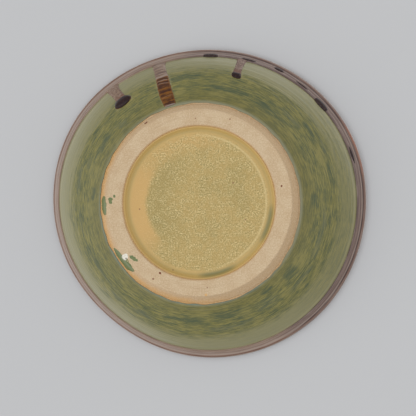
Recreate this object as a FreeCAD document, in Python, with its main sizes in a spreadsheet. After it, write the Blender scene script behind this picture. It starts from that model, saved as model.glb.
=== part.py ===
import FreeCAD, Part
import math
import os

import Sketcher

# A wheel-thrown serving plate with a wide foot ring, glazed green inside and
# out, with a brown glazed lip whose glaze has run down the outside wall.
#
# The plate stands on its foot: +Z is up, the wheel's axis is Z, and the
# origin is the centre of the foot's resting face. Every thrown piece is
# turned from an outline whose x is the distance from the axis and whose y is
# the height. Lengths are millimetres and angles are degrees.

SIZES = [
    ("rim_radius", 100, "widest radius of the lip, over its glaze"),
    ("height", 44, "from the foot's resting face to the top of the lip"),
    ("floor_radius", 36, "radius where the flat floor turns into the wall"),
    ("well_height", 4, "clay underside of the floor above the resting face"),
    ("wall", 4.8, "thickness of the clay, floor and wall alike"),
    ("glaze", 0.5, "thickness of the fired glaze coats"),
    ("lip_radius", 2.3, "radius of the clay bead that ends the lip"),
    ("lip_overhang", 5.65, "how far the lip flares out past the top of the wall"),
    ("lip_height", 7.7, "height of the lip above the top of the wall"),
    ("foot_inner_radius", 47.2, "inner edge of the resting face"),
    ("foot_outer_radius", 56.5, "outer edge of the resting face"),
    ("foot_seat_radius", 44.4, "inner edge of the foot where it meets the floor"),
    ("foot_root_radius", 61.7, "outer edge of the foot where it meets the wall"),
    ("foot_edge", 0.7, "rounding of the resting face's two edges"),
    ("bare_strip", 0.5, "bare clay left between the foot and the green glaze"),
    ("well_line", 1.2, "height at which the well's glaze stops on the foot"),
    ("well_groove", 2.6, "radius of the glaze pooled in the well's corner"),
    ("run_height", 0.9, "how far the brown runs stand out from the green glaze"),
    ("run_edge", 0.5, "rounding of the runs' edges"),
    ("long_run_width", 7.6, "width of the long run"),
    ("long_run_angle", 252.2, "direction of the long run round the axis"),
    ("long_run_gap", 2.5, "from the foot's root out to the long run's round end"),
    ("bulb_run_width", 8.4, "width of the run that ends in a bulb"),
    ("bulb_run_angle", 231.4, "direction of the bulb-ended run"),
    ("bulb_run_length", 13.85, "from the lip's thick edge in to the bulb's middle"),
    ("bulb_width", 12.2, "width of the bulb, across the run"),
    ("bulb_length", 5.6, "length of the bulb, along the run"),
    ("bulb_edge", 1.2, "rounding of the bulb's edge"),
    ("bulb_height", 1.8, "how far the bulb stands out from the green glaze"),
    ("short_run_width", 5.6, "width of the short run"),
    ("short_run_angle", 284.8, "direction of the short run"),
    ("short_run_length", 11.2, "from the lip's thick edge in to the short run's round end"),
    ("bead_size", 1.7, "radius of the small glaze beads below the lip"),
    ("bead_depth", 1.1, "how deep the beads' centres lie under the surface"),
    ("splash_height", 0.4, "how far the glaze splashes stand out from the foot's side"),
    ("crumb_size", 1.5, "radius of the clay crumb fused to the foot"),
]

# Directions round the axis of the small beads and the crumb.
BEAD_ANGLES = (272, 289, 299, 309, 321, 341)
CRUMB_ANGLE = 144
# How far up the foot's side the crumb lies, as a share of it.
CRUMB_PLACE = 0.3
# Each splash's direction and spread round the axis, and the shares of the foot's
# side where it begins and ends.
SPLASHES = ((142, 16, 0.52, 0.94), (180, 14, 0.3, 0.86))

# A sketch's own numbers for the places on an edge, its origin and its axes.
START, END, CENTRE = range(1, 4)
ORIGIN = (-1, 1)
X_AXIS, Y_AXIS = range(-1, -3, -1)

# Lengths that follow from the sizes, as expressions on the sheet.
WALL_TOP_X = "(Sizes.rim_radius - Sizes.lip_overhang)"
WALL_TOP_Y = "(Sizes.height - Sizes.lip_height)"
WALL_RUN = f"({WALL_TOP_X} - Sizes.floor_radius)"
WALL_RISE = f"({WALL_TOP_Y} - Sizes.well_height)"
# The wall's outside is one arc, level where it leaves the flat floor.
WALL_CURVE = f"(({WALL_RUN}^2 + {WALL_RISE}^2) / (2 * {WALL_RISE}))"
CURVE_CENTRE_Y = f"(Sizes.well_height + {WALL_CURVE})"
LIP_INSET = "(Sizes.glaze + Sizes.lip_radius)"

# The bulb's middle, and how far past it the stem's round end has its centre.
BULB_X = f"({WALL_TOP_X} - Sizes.bulb_run_length)"
STEM_INSET = "((Sizes.bulb_run_width - Sizes.bulb_length + Sizes.run_height) / 2)"

# Distances from the axis of the middles of the runs' round ends.
RUN_ENDS = {
    "long_run": "(Sizes.foot_root_radius + Sizes.long_run_gap)",
    "bulb_run": f"({BULB_X} + {STEM_INSET})",
    "short_run": f"({WALL_TOP_X} - Sizes.short_run_length)",
}

# Depths of the surfaces, measured outwards and square to the clay's outside.
CLAY_OUT = "0"
GLAZE_OUT = "Sizes.glaze"
RUN_OUT = "(Sizes.glaze + Sizes.run_height)"
BULB_OUT = "(Sizes.glaze + Sizes.bulb_height)"
# Further out than any bead of glaze stands.
BEAD_OUT = "(Sizes.glaze + 2 * Sizes.bead_size)"
CLAY_IN = "-Sizes.wall"
GLAZE_IN = "(-Sizes.wall - Sizes.glaze)"

document = FreeCAD.newDocument("plate")


def make_sheet():
    """Write the driving dimensions, one to a row, each with its name."""
    sheet = document.addObject("Spreadsheet::Sheet", "Sizes")
    for row, (name, size, meaning) in enumerate(SIZES, start=1):
        sheet.set(f"A{row}", name)
        sheet.set(f"B{row}", str(size))
        sheet.setAlias(f"B{row}", name)
        sheet.set(f"C{row}", meaning)
    document.recompute()
    return sheet


sheet = make_sheet()


def worth(expression):
    """The number that an expression on the sheet comes to."""
    return float(sheet.evalExpression(str(expression)))


def wall_x(x, depth):
    """Distance from the axis at a depth, square to the clay's outside at x."""
    share = f"(({x}) - Sizes.floor_radius) / {WALL_CURVE}"
    return f"(Sizes.floor_radius + ({WALL_CURVE} + ({depth})) * {share})"


def wall_y(x, depth):
    """Height at a depth, square to the clay's outside at x."""
    share = f"(({x}) - Sizes.floor_radius) / {WALL_CURVE}"
    return f"({CURVE_CENTRE_Y} - ({WALL_CURVE} + ({depth})) * sqrt(1 - ({share})^2))"


class Outline:
    """A closed outline beside the wheel's axis, tied to the sheet."""

    def __init__(self, body, name, role="XZ_Plane"):
        self.sketch = body.newObject("Sketcher::SketchObject", name)
        plane = [p for p in body.Origin.OriginFeatures if p.Role == role][0]
        self.sketch.AttachmentSupport = [(plane, "")]
        self.sketch.MapMode = "FlatFace"

    def line(self, start, end):
        """Add a straight edge between two points given as expressions."""
        ends = [FreeCAD.Vector(worth(x), worth(y), 0) for x, y in (start, end)]
        return self.sketch.addGeometry(Part.LineSegment(*ends), False)

    def arc(self, centre, radius, first, last, guide=False):
        """Add an arc that runs anticlockwise between two angles in radians."""
        circle = Part.Circle(centre, FreeCAD.Vector(0, 0, 1), radius)
        return self.sketch.addGeometry(Part.ArcOfCircle(circle, first, last), guide)

    def constrain(self, kind, *where):
        self.sketch.addConstraint(Sketcher.Constraint(kind, *where))

    def tie(self, kind, where, expression):
        """Add a dimension and bind it to the sheet."""
        constraint = Sketcher.Constraint(kind, *where, worth(expression))
        index = self.sketch.addConstraint(constraint)
        self.sketch.setExpression(f"Constraints[{index}]", expression)

    def tie_x(self, edge, point, x):
        self.tie("DistanceX", (*ORIGIN, edge, point), x)

    def tie_y(self, edge, point, y):
        self.tie("DistanceY", (*ORIGIN, edge, point), y)

    def join(self, edge, point, other, other_point):
        self.constrain("Coincident", edge, point, other, other_point)

    def wall_arc(self, depth, start_x, end_x, guide=False):
        """The wall's curve at a depth, between two places on its outside."""
        centre = FreeCAD.Vector(worth("Sizes.floor_radius"), worth(CURVE_CENTRE_Y), 0)
        curve = worth(WALL_CURVE)
        slopes = [math.asin((worth(x) - centre.x) / curve) for x in (start_x, end_x)]
        first, last = [slope - math.pi / 2 for slope in slopes]
        arc = self.arc(centre, curve + worth(depth), first, last, guide)
        self.tie_x(arc, CENTRE, "Sizes.floor_radius")
        self.tie_y(arc, CENTRE, CURVE_CENTRE_Y)
        self.tie("Radius", (arc,), f"{WALL_CURVE} + ({depth})")
        self.tie_x(arc, START, wall_x(start_x, depth))
        self.tie_x(arc, END, wall_x(end_x, depth))
        return arc

    def lip(self, depth, outer, inner, edge_depth=None):
        """The lip at a depth: a groove, the bead and a flare, each tangent.

        The groove starts from the wall's outside at edge_depth, if it is given.
        """
        lean = math.asin(worth(WALL_RUN) / worth(WALL_CURVE))
        outwards = FreeCAD.Vector(math.sin(lean), -math.cos(lean), 0)
        middle = FreeCAD.Vector(
            worth(f"Sizes.rim_radius - {LIP_INSET}"), worth(f"Sizes.height - {LIP_INSET}"), 0
        )
        radius = worth(f"Sizes.lip_radius + {depth}")

        def side(surface, turn):
            """The arc tangent to one face of the wall and to the bead."""
            foot = FreeCAD.Vector(
                worth(wall_x(WALL_TOP_X, surface)), worth(wall_y(WALL_TOP_X, surface)), 0
            )
            reach = foot - middle
            size = (radius**2 - reach.Length**2) / 2 / (reach.dot(outwards) + turn * radius)
            centre = foot + outwards * size
            away = (middle - centre) * -turn
            touch = math.atan2(away.y, away.x) % (2 * math.pi)
            start = math.pi / 2 + lean
            return centre, size, touch, start

        centre, size, touch, start = side(edge_depth or depth, -1)
        groove = self.arc(centre, size, touch, start)
        touch_out = touch - math.pi
        centre, size, touch, start = side(f"-Sizes.wall - ({depth})", 1)
        touch_in = (touch + math.pi) % (2 * math.pi)
        flare = self.arc(centre, size, touch_in, start)
        bead = self.arc(middle, radius, touch_out, touch_in)
        self.tie_x(bead, CENTRE, f"Sizes.rim_radius - {LIP_INSET}")
        self.tie_y(bead, CENTRE, f"Sizes.height - {LIP_INSET}")
        self.tie("Radius", (bead,), f"Sizes.lip_radius + {depth}")
        self.constrain("Tangent", outer, END, groove, END)
        self.constrain("Tangent", groove, START, bead, START)
        self.constrain("Tangent", bead, END, flare, START)
        self.constrain("Tangent", flare, END, inner, END)
        return groove, bead, flare


def make_body(label):
    body = document.addObject("PartDesign::Body", label)
    body.Label = label
    return body


def turn(body, outline):
    """Turn an outline once round the wheel's axis."""
    solid = body.newObject("PartDesign::Revolution", body.Name + "_turned")
    solid.Profile = outline.sketch
    solid.ReferenceAxis = (outline.sketch, ["V_Axis"])
    solid.Angle = 360
    outline.sketch.Visibility = False
    document.recompute()
    return solid


def make_clay_body():
    """The thrown clay: an even floor and wall that flare out to a round lip."""
    body = make_body("clay_body")
    outline = Outline(body, "clay_outline")
    outer = outline.wall_arc(CLAY_OUT, "Sizes.floor_radius", WALL_TOP_X)
    inner = outline.wall_arc(CLAY_IN, "Sizes.floor_radius", WALL_TOP_X)
    outline.lip(CLAY_OUT, outer, inner)
    under = outline.line(("0", "Sizes.well_height"), ("Sizes.floor_radius", "Sizes.well_height"))
    top = "Sizes.well_height + Sizes.wall"
    over = outline.line(("0", top), ("Sizes.floor_radius", top))
    middle = outline.line(("0", "Sizes.well_height"), ("0", top))
    for level, wall in ((under, outer), (over, inner)):
        outline.constrain("Horizontal", level)
        outline.constrain("PointOnObject", level, START, Y_AXIS)
        outline.join(level, END, wall, START)
    outline.join(middle, START, under, START)
    outline.join(middle, END, over, START)
    turn(body, outline)
    return body


def make_foot_ring():
    """The unglazed ring that the plate stands on, seated on the curved clay."""
    body = make_body("foot_ring")
    outline = Outline(body, "foot_outline")
    seat = outline.wall_arc(CLAY_OUT, "Sizes.foot_seat_radius", "Sizes.foot_root_radius")
    seat_ends = [
        (x, wall_y(x, CLAY_OUT)) for x in ("Sizes.foot_seat_radius", "Sizes.foot_root_radius")
    ]
    face_ends = [("Sizes.foot_inner_radius", "0"), ("Sizes.foot_outer_radius", "0")]
    face = outline.line(*face_ends)
    inside = outline.line(face_ends[0], seat_ends[0])
    outside = outline.line(face_ends[1], seat_ends[1])
    outline.constrain("PointOnObject", face, START, X_AXIS)
    outline.constrain("PointOnObject", face, END, X_AXIS)
    outline.tie_x(face, START, "Sizes.foot_inner_radius")
    outline.tie_x(face, END, "Sizes.foot_outer_radius")
    outline.join(inside, START, face, START)
    outline.join(inside, END, seat, START)
    outline.join(outside, START, face, END)
    outline.join(outside, END, seat, END)
    ring = turn(body, outline)
    low_edges = [
        f"Edge{number}"
        for number, edge in enumerate(ring.Shape.Edges, start=1)
        if edge.BoundBox.ZMax < worth("Sizes.foot_edge") / 2
    ]
    rounding = body.newObject("PartDesign::Fillet", "foot_rounding")
    rounding.Base = (ring, low_edges)
    rounding.setExpression("Radius", "Sizes.foot_edge")
    body.Tip = rounding
    document.recompute()
    return body


def add_radial_ends(outline, inner, outer, pairs):
    """Close the gap between two concentric arcs square to both."""
    for point, x, depths in pairs:
        ends = [(wall_x(x, depth), wall_y(x, depth)) for depth in depths]
        edge = outline.line(*ends)
        outline.join(edge, START, inner, point)
        outline.join(edge, END, outer, point)


def make_outside_glaze():
    """The green coat on the outside wall, from above the foot to the lip."""
    body = make_body("outside_glaze")
    outline = Outline(body, "outside_outline")
    line = "Sizes.foot_root_radius + Sizes.bare_strip"
    inner = outline.wall_arc(CLAY_OUT, line, WALL_TOP_X)
    outer = outline.wall_arc(GLAZE_OUT, line, WALL_TOP_X)
    depths = (CLAY_OUT, GLAZE_OUT)
    add_radial_ends(outline, inner, outer, ((START, line, depths), (END, WALL_TOP_X, depths)))
    turn(body, outline)
    return body


def make_rim_glaze():
    """The brown coat that wraps the lip, rolled thick where it ends outside."""
    body = make_body("rim_glaze")
    outline = Outline(body, "rim_outline")
    ends = []
    for depth, edge_depth in ((CLAY_OUT, CLAY_OUT), (GLAZE_OUT, RUN_OUT)):
        outer = outline.wall_arc(edge_depth, "Sizes.floor_radius", WALL_TOP_X, guide=True)
        under = f"-Sizes.wall - ({depth})"
        inner = outline.wall_arc(under, "Sizes.floor_radius", WALL_TOP_X, guide=True)
        groove, bead, flare = outline.lip(depth, outer, inner, edge_depth)
        ends.append((groove, flare))
    (clay_groove, clay_flare), (glaze_groove, glaze_flare) = ends
    for inner, outer, depths in (
        (clay_groove, glaze_groove, (CLAY_OUT, RUN_OUT)),
        (clay_flare, glaze_flare, (CLAY_IN, GLAZE_IN)),
    ):
        add_radial_ends(outline, inner, outer, ((END, WALL_TOP_X, depths),))
    turn(body, outline)
    return body


def make_inside_glaze():
    """The green coat on the upper side, over the floor and up to the lip."""
    body = make_body("inside_glaze")
    outline = Outline(body, "inside_outline")
    clay = outline.wall_arc(CLAY_IN, "Sizes.floor_radius", WALL_TOP_X)
    coat = outline.wall_arc(GLAZE_IN, "Sizes.floor_radius", WALL_TOP_X)
    add_radial_ends(outline, clay, coat, ((END, WALL_TOP_X, (CLAY_IN, GLAZE_IN)),))
    bottom = "Sizes.well_height + Sizes.wall"
    top = "Sizes.well_height + Sizes.wall + Sizes.glaze"
    middle = outline.line(("0", bottom), ("0", top))
    for height, wall, point in ((bottom, clay, START), (top, coat, END)):
        level = outline.line(("0", height), ("Sizes.floor_radius", height))
        outline.constrain("Horizontal", level)
        outline.constrain("PointOnObject", level, START, Y_AXIS)
        outline.join(level, END, wall, START)
        outline.join(middle, point, level, START)
    turn(body, outline)
    return body


def make_well_glaze():
    """The coat inside the foot, with glaze pooled in a round-bottomed corner."""
    body = make_body("well_glaze")
    outline = Outline(body, "well_outline")
    clay_y = "Sizes.well_height"
    coat_y = "Sizes.well_height - Sizes.glaze"
    fold = outline.wall_arc(CLAY_OUT, "Sizes.floor_radius", "Sizes.foot_seat_radius")
    # The foot's inner side runs from its seat down to its resting face.
    seat_y = wall_y("Sizes.foot_seat_radius", CLAY_OUT)
    lean = f"((Sizes.foot_inner_radius - Sizes.foot_seat_radius) / {seat_y})"
    line_x = f"(Sizes.foot_inner_radius - Sizes.well_line * {lean})"
    clay = outline.line(("0", clay_y), ("Sizes.floor_radius", clay_y))
    side = outline.line(("Sizes.foot_seat_radius", seat_y), (line_x, "Sizes.well_line"))
    # The coat on the foot's side is parallel to it and ends square to it.
    stretch = f"sqrt(1 + {lean}^2)"
    end_x = f"({line_x} - Sizes.glaze / {stretch})"
    end_y = f"(Sizes.well_line - Sizes.glaze * {lean} / {stretch})"
    end = outline.line((line_x, "Sizes.well_line"), (end_x, end_y))
    # The pool's arc is tangent to the coat on the floor and to the one on the side.
    pool_y = f"({coat_y} - Sizes.well_groove)"
    pool_x = f"({end_x} - ({pool_y} - {end_y}) * {lean} - Sizes.well_groove * {stretch})"
    tilt = math.atan(worth(lean))
    pool_centre = FreeCAD.Vector(worth(pool_x), worth(pool_y), 0)
    pool = outline.arc(pool_centre, worth("Sizes.well_groove"), tilt, math.pi / 2)
    coat = outline.line(("0", coat_y), (pool_x, coat_y))
    middle = outline.line(("0", clay_y), ("0", coat_y))
    touch = FreeCAD.Vector(math.cos(tilt), math.sin(tilt), 0) * worth("Sizes.well_groove")
    touch = touch + pool_centre
    coat_side = outline.line((end_x, end_y), (touch.x, touch.y))
    outline.constrain("Horizontal", clay)
    outline.constrain("PointOnObject", clay, START, Y_AXIS)
    outline.join(clay, END, fold, START)
    outline.join(side, START, fold, END)
    outline.tie_x(side, END, line_x)
    outline.tie_y(side, END, "Sizes.well_line")
    outline.join(end, START, side, END)
    outline.tie_x(end, END, end_x)
    outline.tie_y(end, END, end_y)
    outline.join(coat_side, START, end, END)
    outline.constrain("Tangent", coat_side, END, pool, START)
    outline.constrain("Tangent", pool, END, coat, END)
    outline.tie("Radius", (pool,), "Sizes.well_groove")
    outline.constrain("Horizontal", coat)
    outline.join(middle, START, clay, START)
    outline.join(middle, END, coat, START)
    outline.constrain("PointOnObject", coat, START, Y_AXIS)
    outline.tie_y(coat, START, coat_y)
    outline.constrain("Parallel", coat_side, side)
    turn(body, outline)
    return body


def wall_lean(x):
    """How far the wall leans from level at a place on its outside."""
    return f"asin((({x}) - Sizes.floor_radius) / {WALL_CURVE})"


def place(thing, x, y, angle, tilt):
    """Put a piece at a distance and height, tilted, then turned round the axis."""
    spot = f"vector(({x}) * cos({angle}); ({x}) * sin({angle}); {y})"
    turned = f"rotation({angle}; {tilt}; 0)"
    thing.setExpression("Placement", f"placement({spot}; {turned})")
    document.recompute()


def make_ball(label, radius, x, y, angle, lean):
    """A ball that stands out of a surface that leans so far from level.

    Its seam points into that surface.
    """
    ball = document.addObject("Part::Sphere", label)
    ball.setExpression("Radius", radius)
    place(ball, x, y, angle, f"-90 deg - {lean}")
    return ball


def in_common(label, piece, coat):
    """Keep what a piece and a coat share."""
    shared = document.addObject("Part::Common", label)
    shared.Base = coat
    shared.Tool = piece
    document.recompute()
    return shared


def make_wall_coat(label, depth):
    """A coat over the outside wall's green glaze, from the foot to the lip."""
    body = make_body(label)
    outline = Outline(body, label + "_outline")
    line = "Sizes.foot_root_radius + Sizes.bare_strip"
    inner = outline.wall_arc(GLAZE_OUT, line, WALL_TOP_X)
    outer = outline.wall_arc(depth, line, WALL_TOP_X)
    depths = (GLAZE_OUT, depth)
    add_radial_ends(outline, inner, outer, ((START, line, depths), (END, WALL_TOP_X, depths)))
    turn(body, outline)
    return body


def make_wall_ball(label, radius, depth, x, angle):
    """A ball whose centre lies a depth under the clay's outside at x."""
    return make_ball(label, radius, wall_x(x, depth), wall_y(x, depth), angle, wall_lean(x))


def stand_plan(body, outline, label, x):
    """Raise a plan through the wall, square to it at a distance from the axis."""
    pad = body.newObject("PartDesign::Pad", body.Name + "_pad")
    pad.Profile = outline.sketch
    pad.Midplane = True
    pad.setExpression("Length", "2 * Sizes.height")
    place(body, x, wall_y(x, CLAY_OUT), f"Sizes.{label}_angle", f"-{wall_lean(x)}")
    return body


def make_bulb_plan(label):
    """The bulb's plan: a slot with round ends that lies across the run."""
    body = make_body(label + "_bulb_plan")
    outline = Outline(body, label + "_bulb_outline", "XY_Plane")
    half = "(Sizes.bulb_length / 2)"
    reach = f"(Sizes.bulb_width / 2 - {half})"
    turn = math.pi
    left = outline.arc(FreeCAD.Vector(0, worth(reach), 0), worth(half), 0, turn)
    right = outline.arc(FreeCAD.Vector(0, -worth(reach), 0), worth(half), turn, 2 * turn)
    front = outline.line((f"-{half}", reach), (f"-{half}", f"-{reach}"))
    back = outline.line((half, f"-{reach}"), (half, reach))
    for end, y in ((left, reach), (right, f"-{reach}")):
        outline.constrain("PointOnObject", end, CENTRE, Y_AXIS)
        outline.tie_y(end, CENTRE, y)
        outline.tie("Radius", (end,), half)
    outline.constrain("Tangent", left, END, front, START)
    outline.constrain("Tangent", front, END, right, START)
    outline.constrain("Tangent", right, END, back, START)
    outline.constrain("Tangent", back, END, left, START)
    return stand_plan(body, outline, label, BULB_X)


def make_run_plan(label):
    """A run's plan, square to the wall at its round end, and out past the lip."""
    body = make_body(label + "_plan")
    outline = Outline(body, label + "_outline", "XY_Plane")
    half = f"(Sizes.{label}_width / 2)"
    far = "Sizes.rim_radius"
    tip = outline.arc(FreeCAD.Vector(), worth(half), math.pi / 2, 3 * math.pi / 2)
    left = outline.line(("0", half), (far, half))
    right = outline.line(("0", f"-{half}"), (far, f"-{half}"))
    top = outline.line((far, half), (far, f"-{half}"))
    outline.join(tip, CENTRE, *ORIGIN)
    outline.tie("Radius", (tip,), half)
    outline.constrain("Tangent", tip, START, left, START)
    outline.constrain("Tangent", tip, END, right, START)
    outline.constrain("Horizontal", left)
    outline.constrain("Horizontal", right)
    outline.constrain("Vertical", top)
    outline.join(left, END, top, START)
    outline.join(right, END, top, END)
    outline.tie_x(top, START, far)
    return stand_plan(body, outline, label, RUN_ENDS[label])


def round_edges(label, solid, rounding):
    """Round a run's outer edges, but not the end that meets the rim glaze."""
    centre = FreeCAD.Vector(worth("Sizes.floor_radius"), worth(CURVE_CENTRE_Y), 0)
    between = worth(f"{WALL_CURVE} + Sizes.glaze + Sizes.run_height / 2")
    rim_x = worth(wall_x(WALL_TOP_X, GLAZE_OUT))

    def spot(vertex):
        return FreeCAD.Vector(math.hypot(vertex.X, vertex.Y), vertex.Z, 0)

    rounded = document.addObject("Part::Fillet", label + "_rounded")
    rounded.Base = solid
    edges = []
    for number, edge in enumerate(solid.Shape.Edges, start=1):
        ends = [spot(vertex) for vertex in edge.Vertexes]
        outside = all((end - centre).Length > between for end in ends)
        if outside and any(end.x < rim_x for end in ends):
            edges.append((number, worth(rounding), worth(rounding)))
    rounded.Edges = edges
    document.recompute()
    return rounded


def make_run(label, coat):
    """One run of brown glaze, from the lip down the outside wall."""
    strip = in_common(label + "_strip", make_run_plan(label), coat)
    run = round_edges(label, strip, "Sizes.run_edge")
    run.Label = label
    return run


def make_bulb_run(run_coat):
    """The run that ends in a bulb wider and thicker than itself."""
    stem = make_run("bulb_run", run_coat)
    stem.Label = "bulb_run_stem"
    block = in_common("bulb_block", make_bulb_plan("bulb_run"), make_wall_coat("bulb_coat", BULB_OUT))
    run = document.addObject("Part::Fuse", "bulb_run")
    run.Base = stem
    run.Tool = round_edges("bulb", block, "Sizes.bulb_edge")
    run.Label = "bulb_run"
    document.recompute()
    return run


def make_rim_beads(coat):
    """Small beads of brown glaze that hang below the lip's thick edge."""
    beads = []
    depth = "(Sizes.glaze - Sizes.bead_depth)"
    x = f"({WALL_TOP_X} - Sizes.bead_size / 4)"
    for number, angle in enumerate(BEAD_ANGLES):
        ball = make_wall_ball(f"bead_{number}_ball", "Sizes.bead_size", depth, x, angle)
        beads.append(in_common(f"bead_{number}", ball, coat))
    group = document.addObject("Part::Compound", "rim_beads")
    group.Links = beads
    group.Label = "rim_beads"
    return group


FOOT_RUN = "(Sizes.foot_root_radius - Sizes.foot_outer_radius)"
FOOT_RISE = wall_y("Sizes.foot_root_radius", CLAY_OUT)
FOOT_LEAN = f"atan2({FOOT_RISE}; {FOOT_RUN})"


def foot_side(share, depth):
    """A place on the foot's sloping outer side, a depth under its surface."""
    x = f"(Sizes.foot_outer_radius + {share} * {FOOT_RUN} - {depth} * sin({FOOT_LEAN}))"
    y = f"({share} * {FOOT_RISE} + {depth} * cos({FOOT_LEAN}))"
    return x, y


def make_splash(number, angle, spread, low, high):
    """One splash: a low swell along the foot's outer side."""
    body = make_body(f"splash_{number}")
    outline = Outline(body, f"splash_{number}_outline")
    ends = [foot_side(share, "0") for share in (low, high)]
    half = f"({high - low} * sqrt({FOOT_RUN}^2 + {FOOT_RISE}^2) / 2)"
    height = "Sizes.splash_height"
    radius = f"(({half}^2 + {height}^2) / (2 * {height}))"
    middle = foot_side((low + high) / 2, f"({radius} - {height})")
    centre = FreeCAD.Vector(*(worth(length) for length in middle), 0)
    spokes = [FreeCAD.Vector(*(worth(length) for length in end), 0) - centre for end in ends]
    base = outline.line(*ends)
    swell = outline.arc(centre, worth(radius), *(math.atan2(s.y, s.x) for s in spokes))
    for point, (x, y) in zip((START, END), ends):
        outline.join(base, point, swell, point)
        outline.tie_x(base, point, x)
        outline.tie_y(base, point, y)
    outline.tie("Radius", (swell,), radius)
    solid = turn(body, outline)
    solid.Angle = spread
    solid.Midplane = True
    place(body, "0", "0", f"{angle} deg", "0")
    return body


def make_foot_splashes():
    """Splashes of green glaze on the foot's bare outer side."""
    group = document.addObject("Part::Compound", "foot_splashes")
    group.Links = [make_splash(number, *splash) for number, splash in enumerate(SPLASHES)]
    group.Label = "foot_splashes"
    return group


def make_crumb(foot):
    """A white crumb of clay that fused to the foot in the kiln."""
    middle = foot_side(CRUMB_PLACE, 0)
    ball = make_ball("crumb_ball", "Sizes.crumb_size", *middle, CRUMB_ANGLE, FOOT_LEAN)
    crumb = document.addObject("Part::Cut", "clay_crumb")
    crumb.Base = ball
    crumb.Tool = foot
    crumb.Label = "clay_crumb"
    return crumb


def check(nodes):
    """Stop if any object failed or any piece is not a sound solid."""
    for thing in document.Objects:
        if {"Invalid", "Error"} & set(thing.State):
            raise RuntimeError(f"{thing.Label} failed: {thing.State}")
    for node in nodes:
        shape = node.Shape
        if shape.isNull() or not shape.isValid() or not shape.Solids:
            raise RuntimeError(f"{node.Label} is not a sound solid")
        if min(solid.Volume for solid in shape.Solids) <= 0:
            raise RuntimeError(f"{node.Label} holds an empty solid")


def main():
    foot_ring = make_foot_ring()
    run_coat = make_wall_coat("run_coat", RUN_OUT)
    bead_coat = make_wall_coat("bead_coat", BEAD_OUT)
    nodes = [
        make_clay_body(),
        foot_ring,
        make_outside_glaze(),
        make_inside_glaze(),
        make_rim_glaze(),
        make_well_glaze(),
        make_run("long_run", run_coat),
        make_bulb_run(run_coat),
        make_run("short_run", run_coat),
        make_rim_beads(bead_coat),
        make_foot_splashes(),
        make_crumb(foot_ring),
    ]
    document.recompute()
    check(nodes)
    os.makedirs("parts", exist_ok=True)
    for node in nodes:
        node.Shape.exportStep(f"parts/{node.Label}.step")
        solids = len(node.Shape.Solids)
        print(f"{node.Label}: {solids} solid(s), {node.Shape.Volume:.1f} mm3")


main()
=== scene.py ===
import math

import bmesh
import bpy
from bpy.props import FloatProperty, FloatVectorProperty, IntProperty, PointerProperty
from mathutils import Matrix, Vector, noise


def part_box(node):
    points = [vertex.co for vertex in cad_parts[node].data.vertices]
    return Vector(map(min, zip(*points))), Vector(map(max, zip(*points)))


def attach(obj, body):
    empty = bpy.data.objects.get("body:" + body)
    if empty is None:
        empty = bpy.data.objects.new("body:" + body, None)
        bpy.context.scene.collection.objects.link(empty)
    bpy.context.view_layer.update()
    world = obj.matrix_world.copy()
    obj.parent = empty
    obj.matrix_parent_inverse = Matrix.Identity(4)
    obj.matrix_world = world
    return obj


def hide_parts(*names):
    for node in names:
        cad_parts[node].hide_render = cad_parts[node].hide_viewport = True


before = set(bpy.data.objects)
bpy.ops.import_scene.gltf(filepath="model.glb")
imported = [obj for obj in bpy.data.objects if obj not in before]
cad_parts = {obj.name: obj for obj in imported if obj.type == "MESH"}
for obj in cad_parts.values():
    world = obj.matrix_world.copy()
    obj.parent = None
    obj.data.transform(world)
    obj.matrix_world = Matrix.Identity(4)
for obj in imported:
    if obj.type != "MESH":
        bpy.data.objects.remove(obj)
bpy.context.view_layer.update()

bl_info = {
    "name": "Thrown plate",
    "version": (1, 0, 0),
    "blender": (4, 5, 0),
    "location": "View3D > Sidebar > Plate",
    "description": "A wheel-thrown green plate with a brown lip and a bare foot",
    "category": "Add Mesh",
}

# The plate stands on its foot, with the wheel's axis up. Lengths are metres, and
# an outline is a list of points (distance from the axis, height). A direction
# round the axis is in degrees, from +X towards +Y. The three runs of glaze are
# on the -Y side.

MM = 0.001
FULL_TURN = 2 * math.pi


def shade(red, green, blue):
    """A colour given as eight-bit values, as the renderer's own linear one."""
    parts = [part / 255 for part in (red, green, blue)]
    linear = [p / 12.92 if p <= 0.04045 else ((p + 0.055) / 1.055) ** 2.4 for p in parts]
    return (*linear, 1.0)


def length(name, description, default):
    """A size that the user can change."""
    return FloatProperty(
        name=name, description=description, default=default, min=0.0, precision=4, unit="LENGTH"
    )


def tint(name, description, *eight_bit):
    """A colour that the user can change."""
    return FloatVectorProperty(
        name=name, description=description, default=shade(*eight_bit), size=4, subtype="COLOR",
        min=0.0, max=1.0,
    )


def share(name, description, default):
    """A part of the light that the user can change."""
    return FloatProperty(
        name=name, description=description, default=default, min=0.0, max=1.0, subtype="FACTOR"
    )


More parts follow.
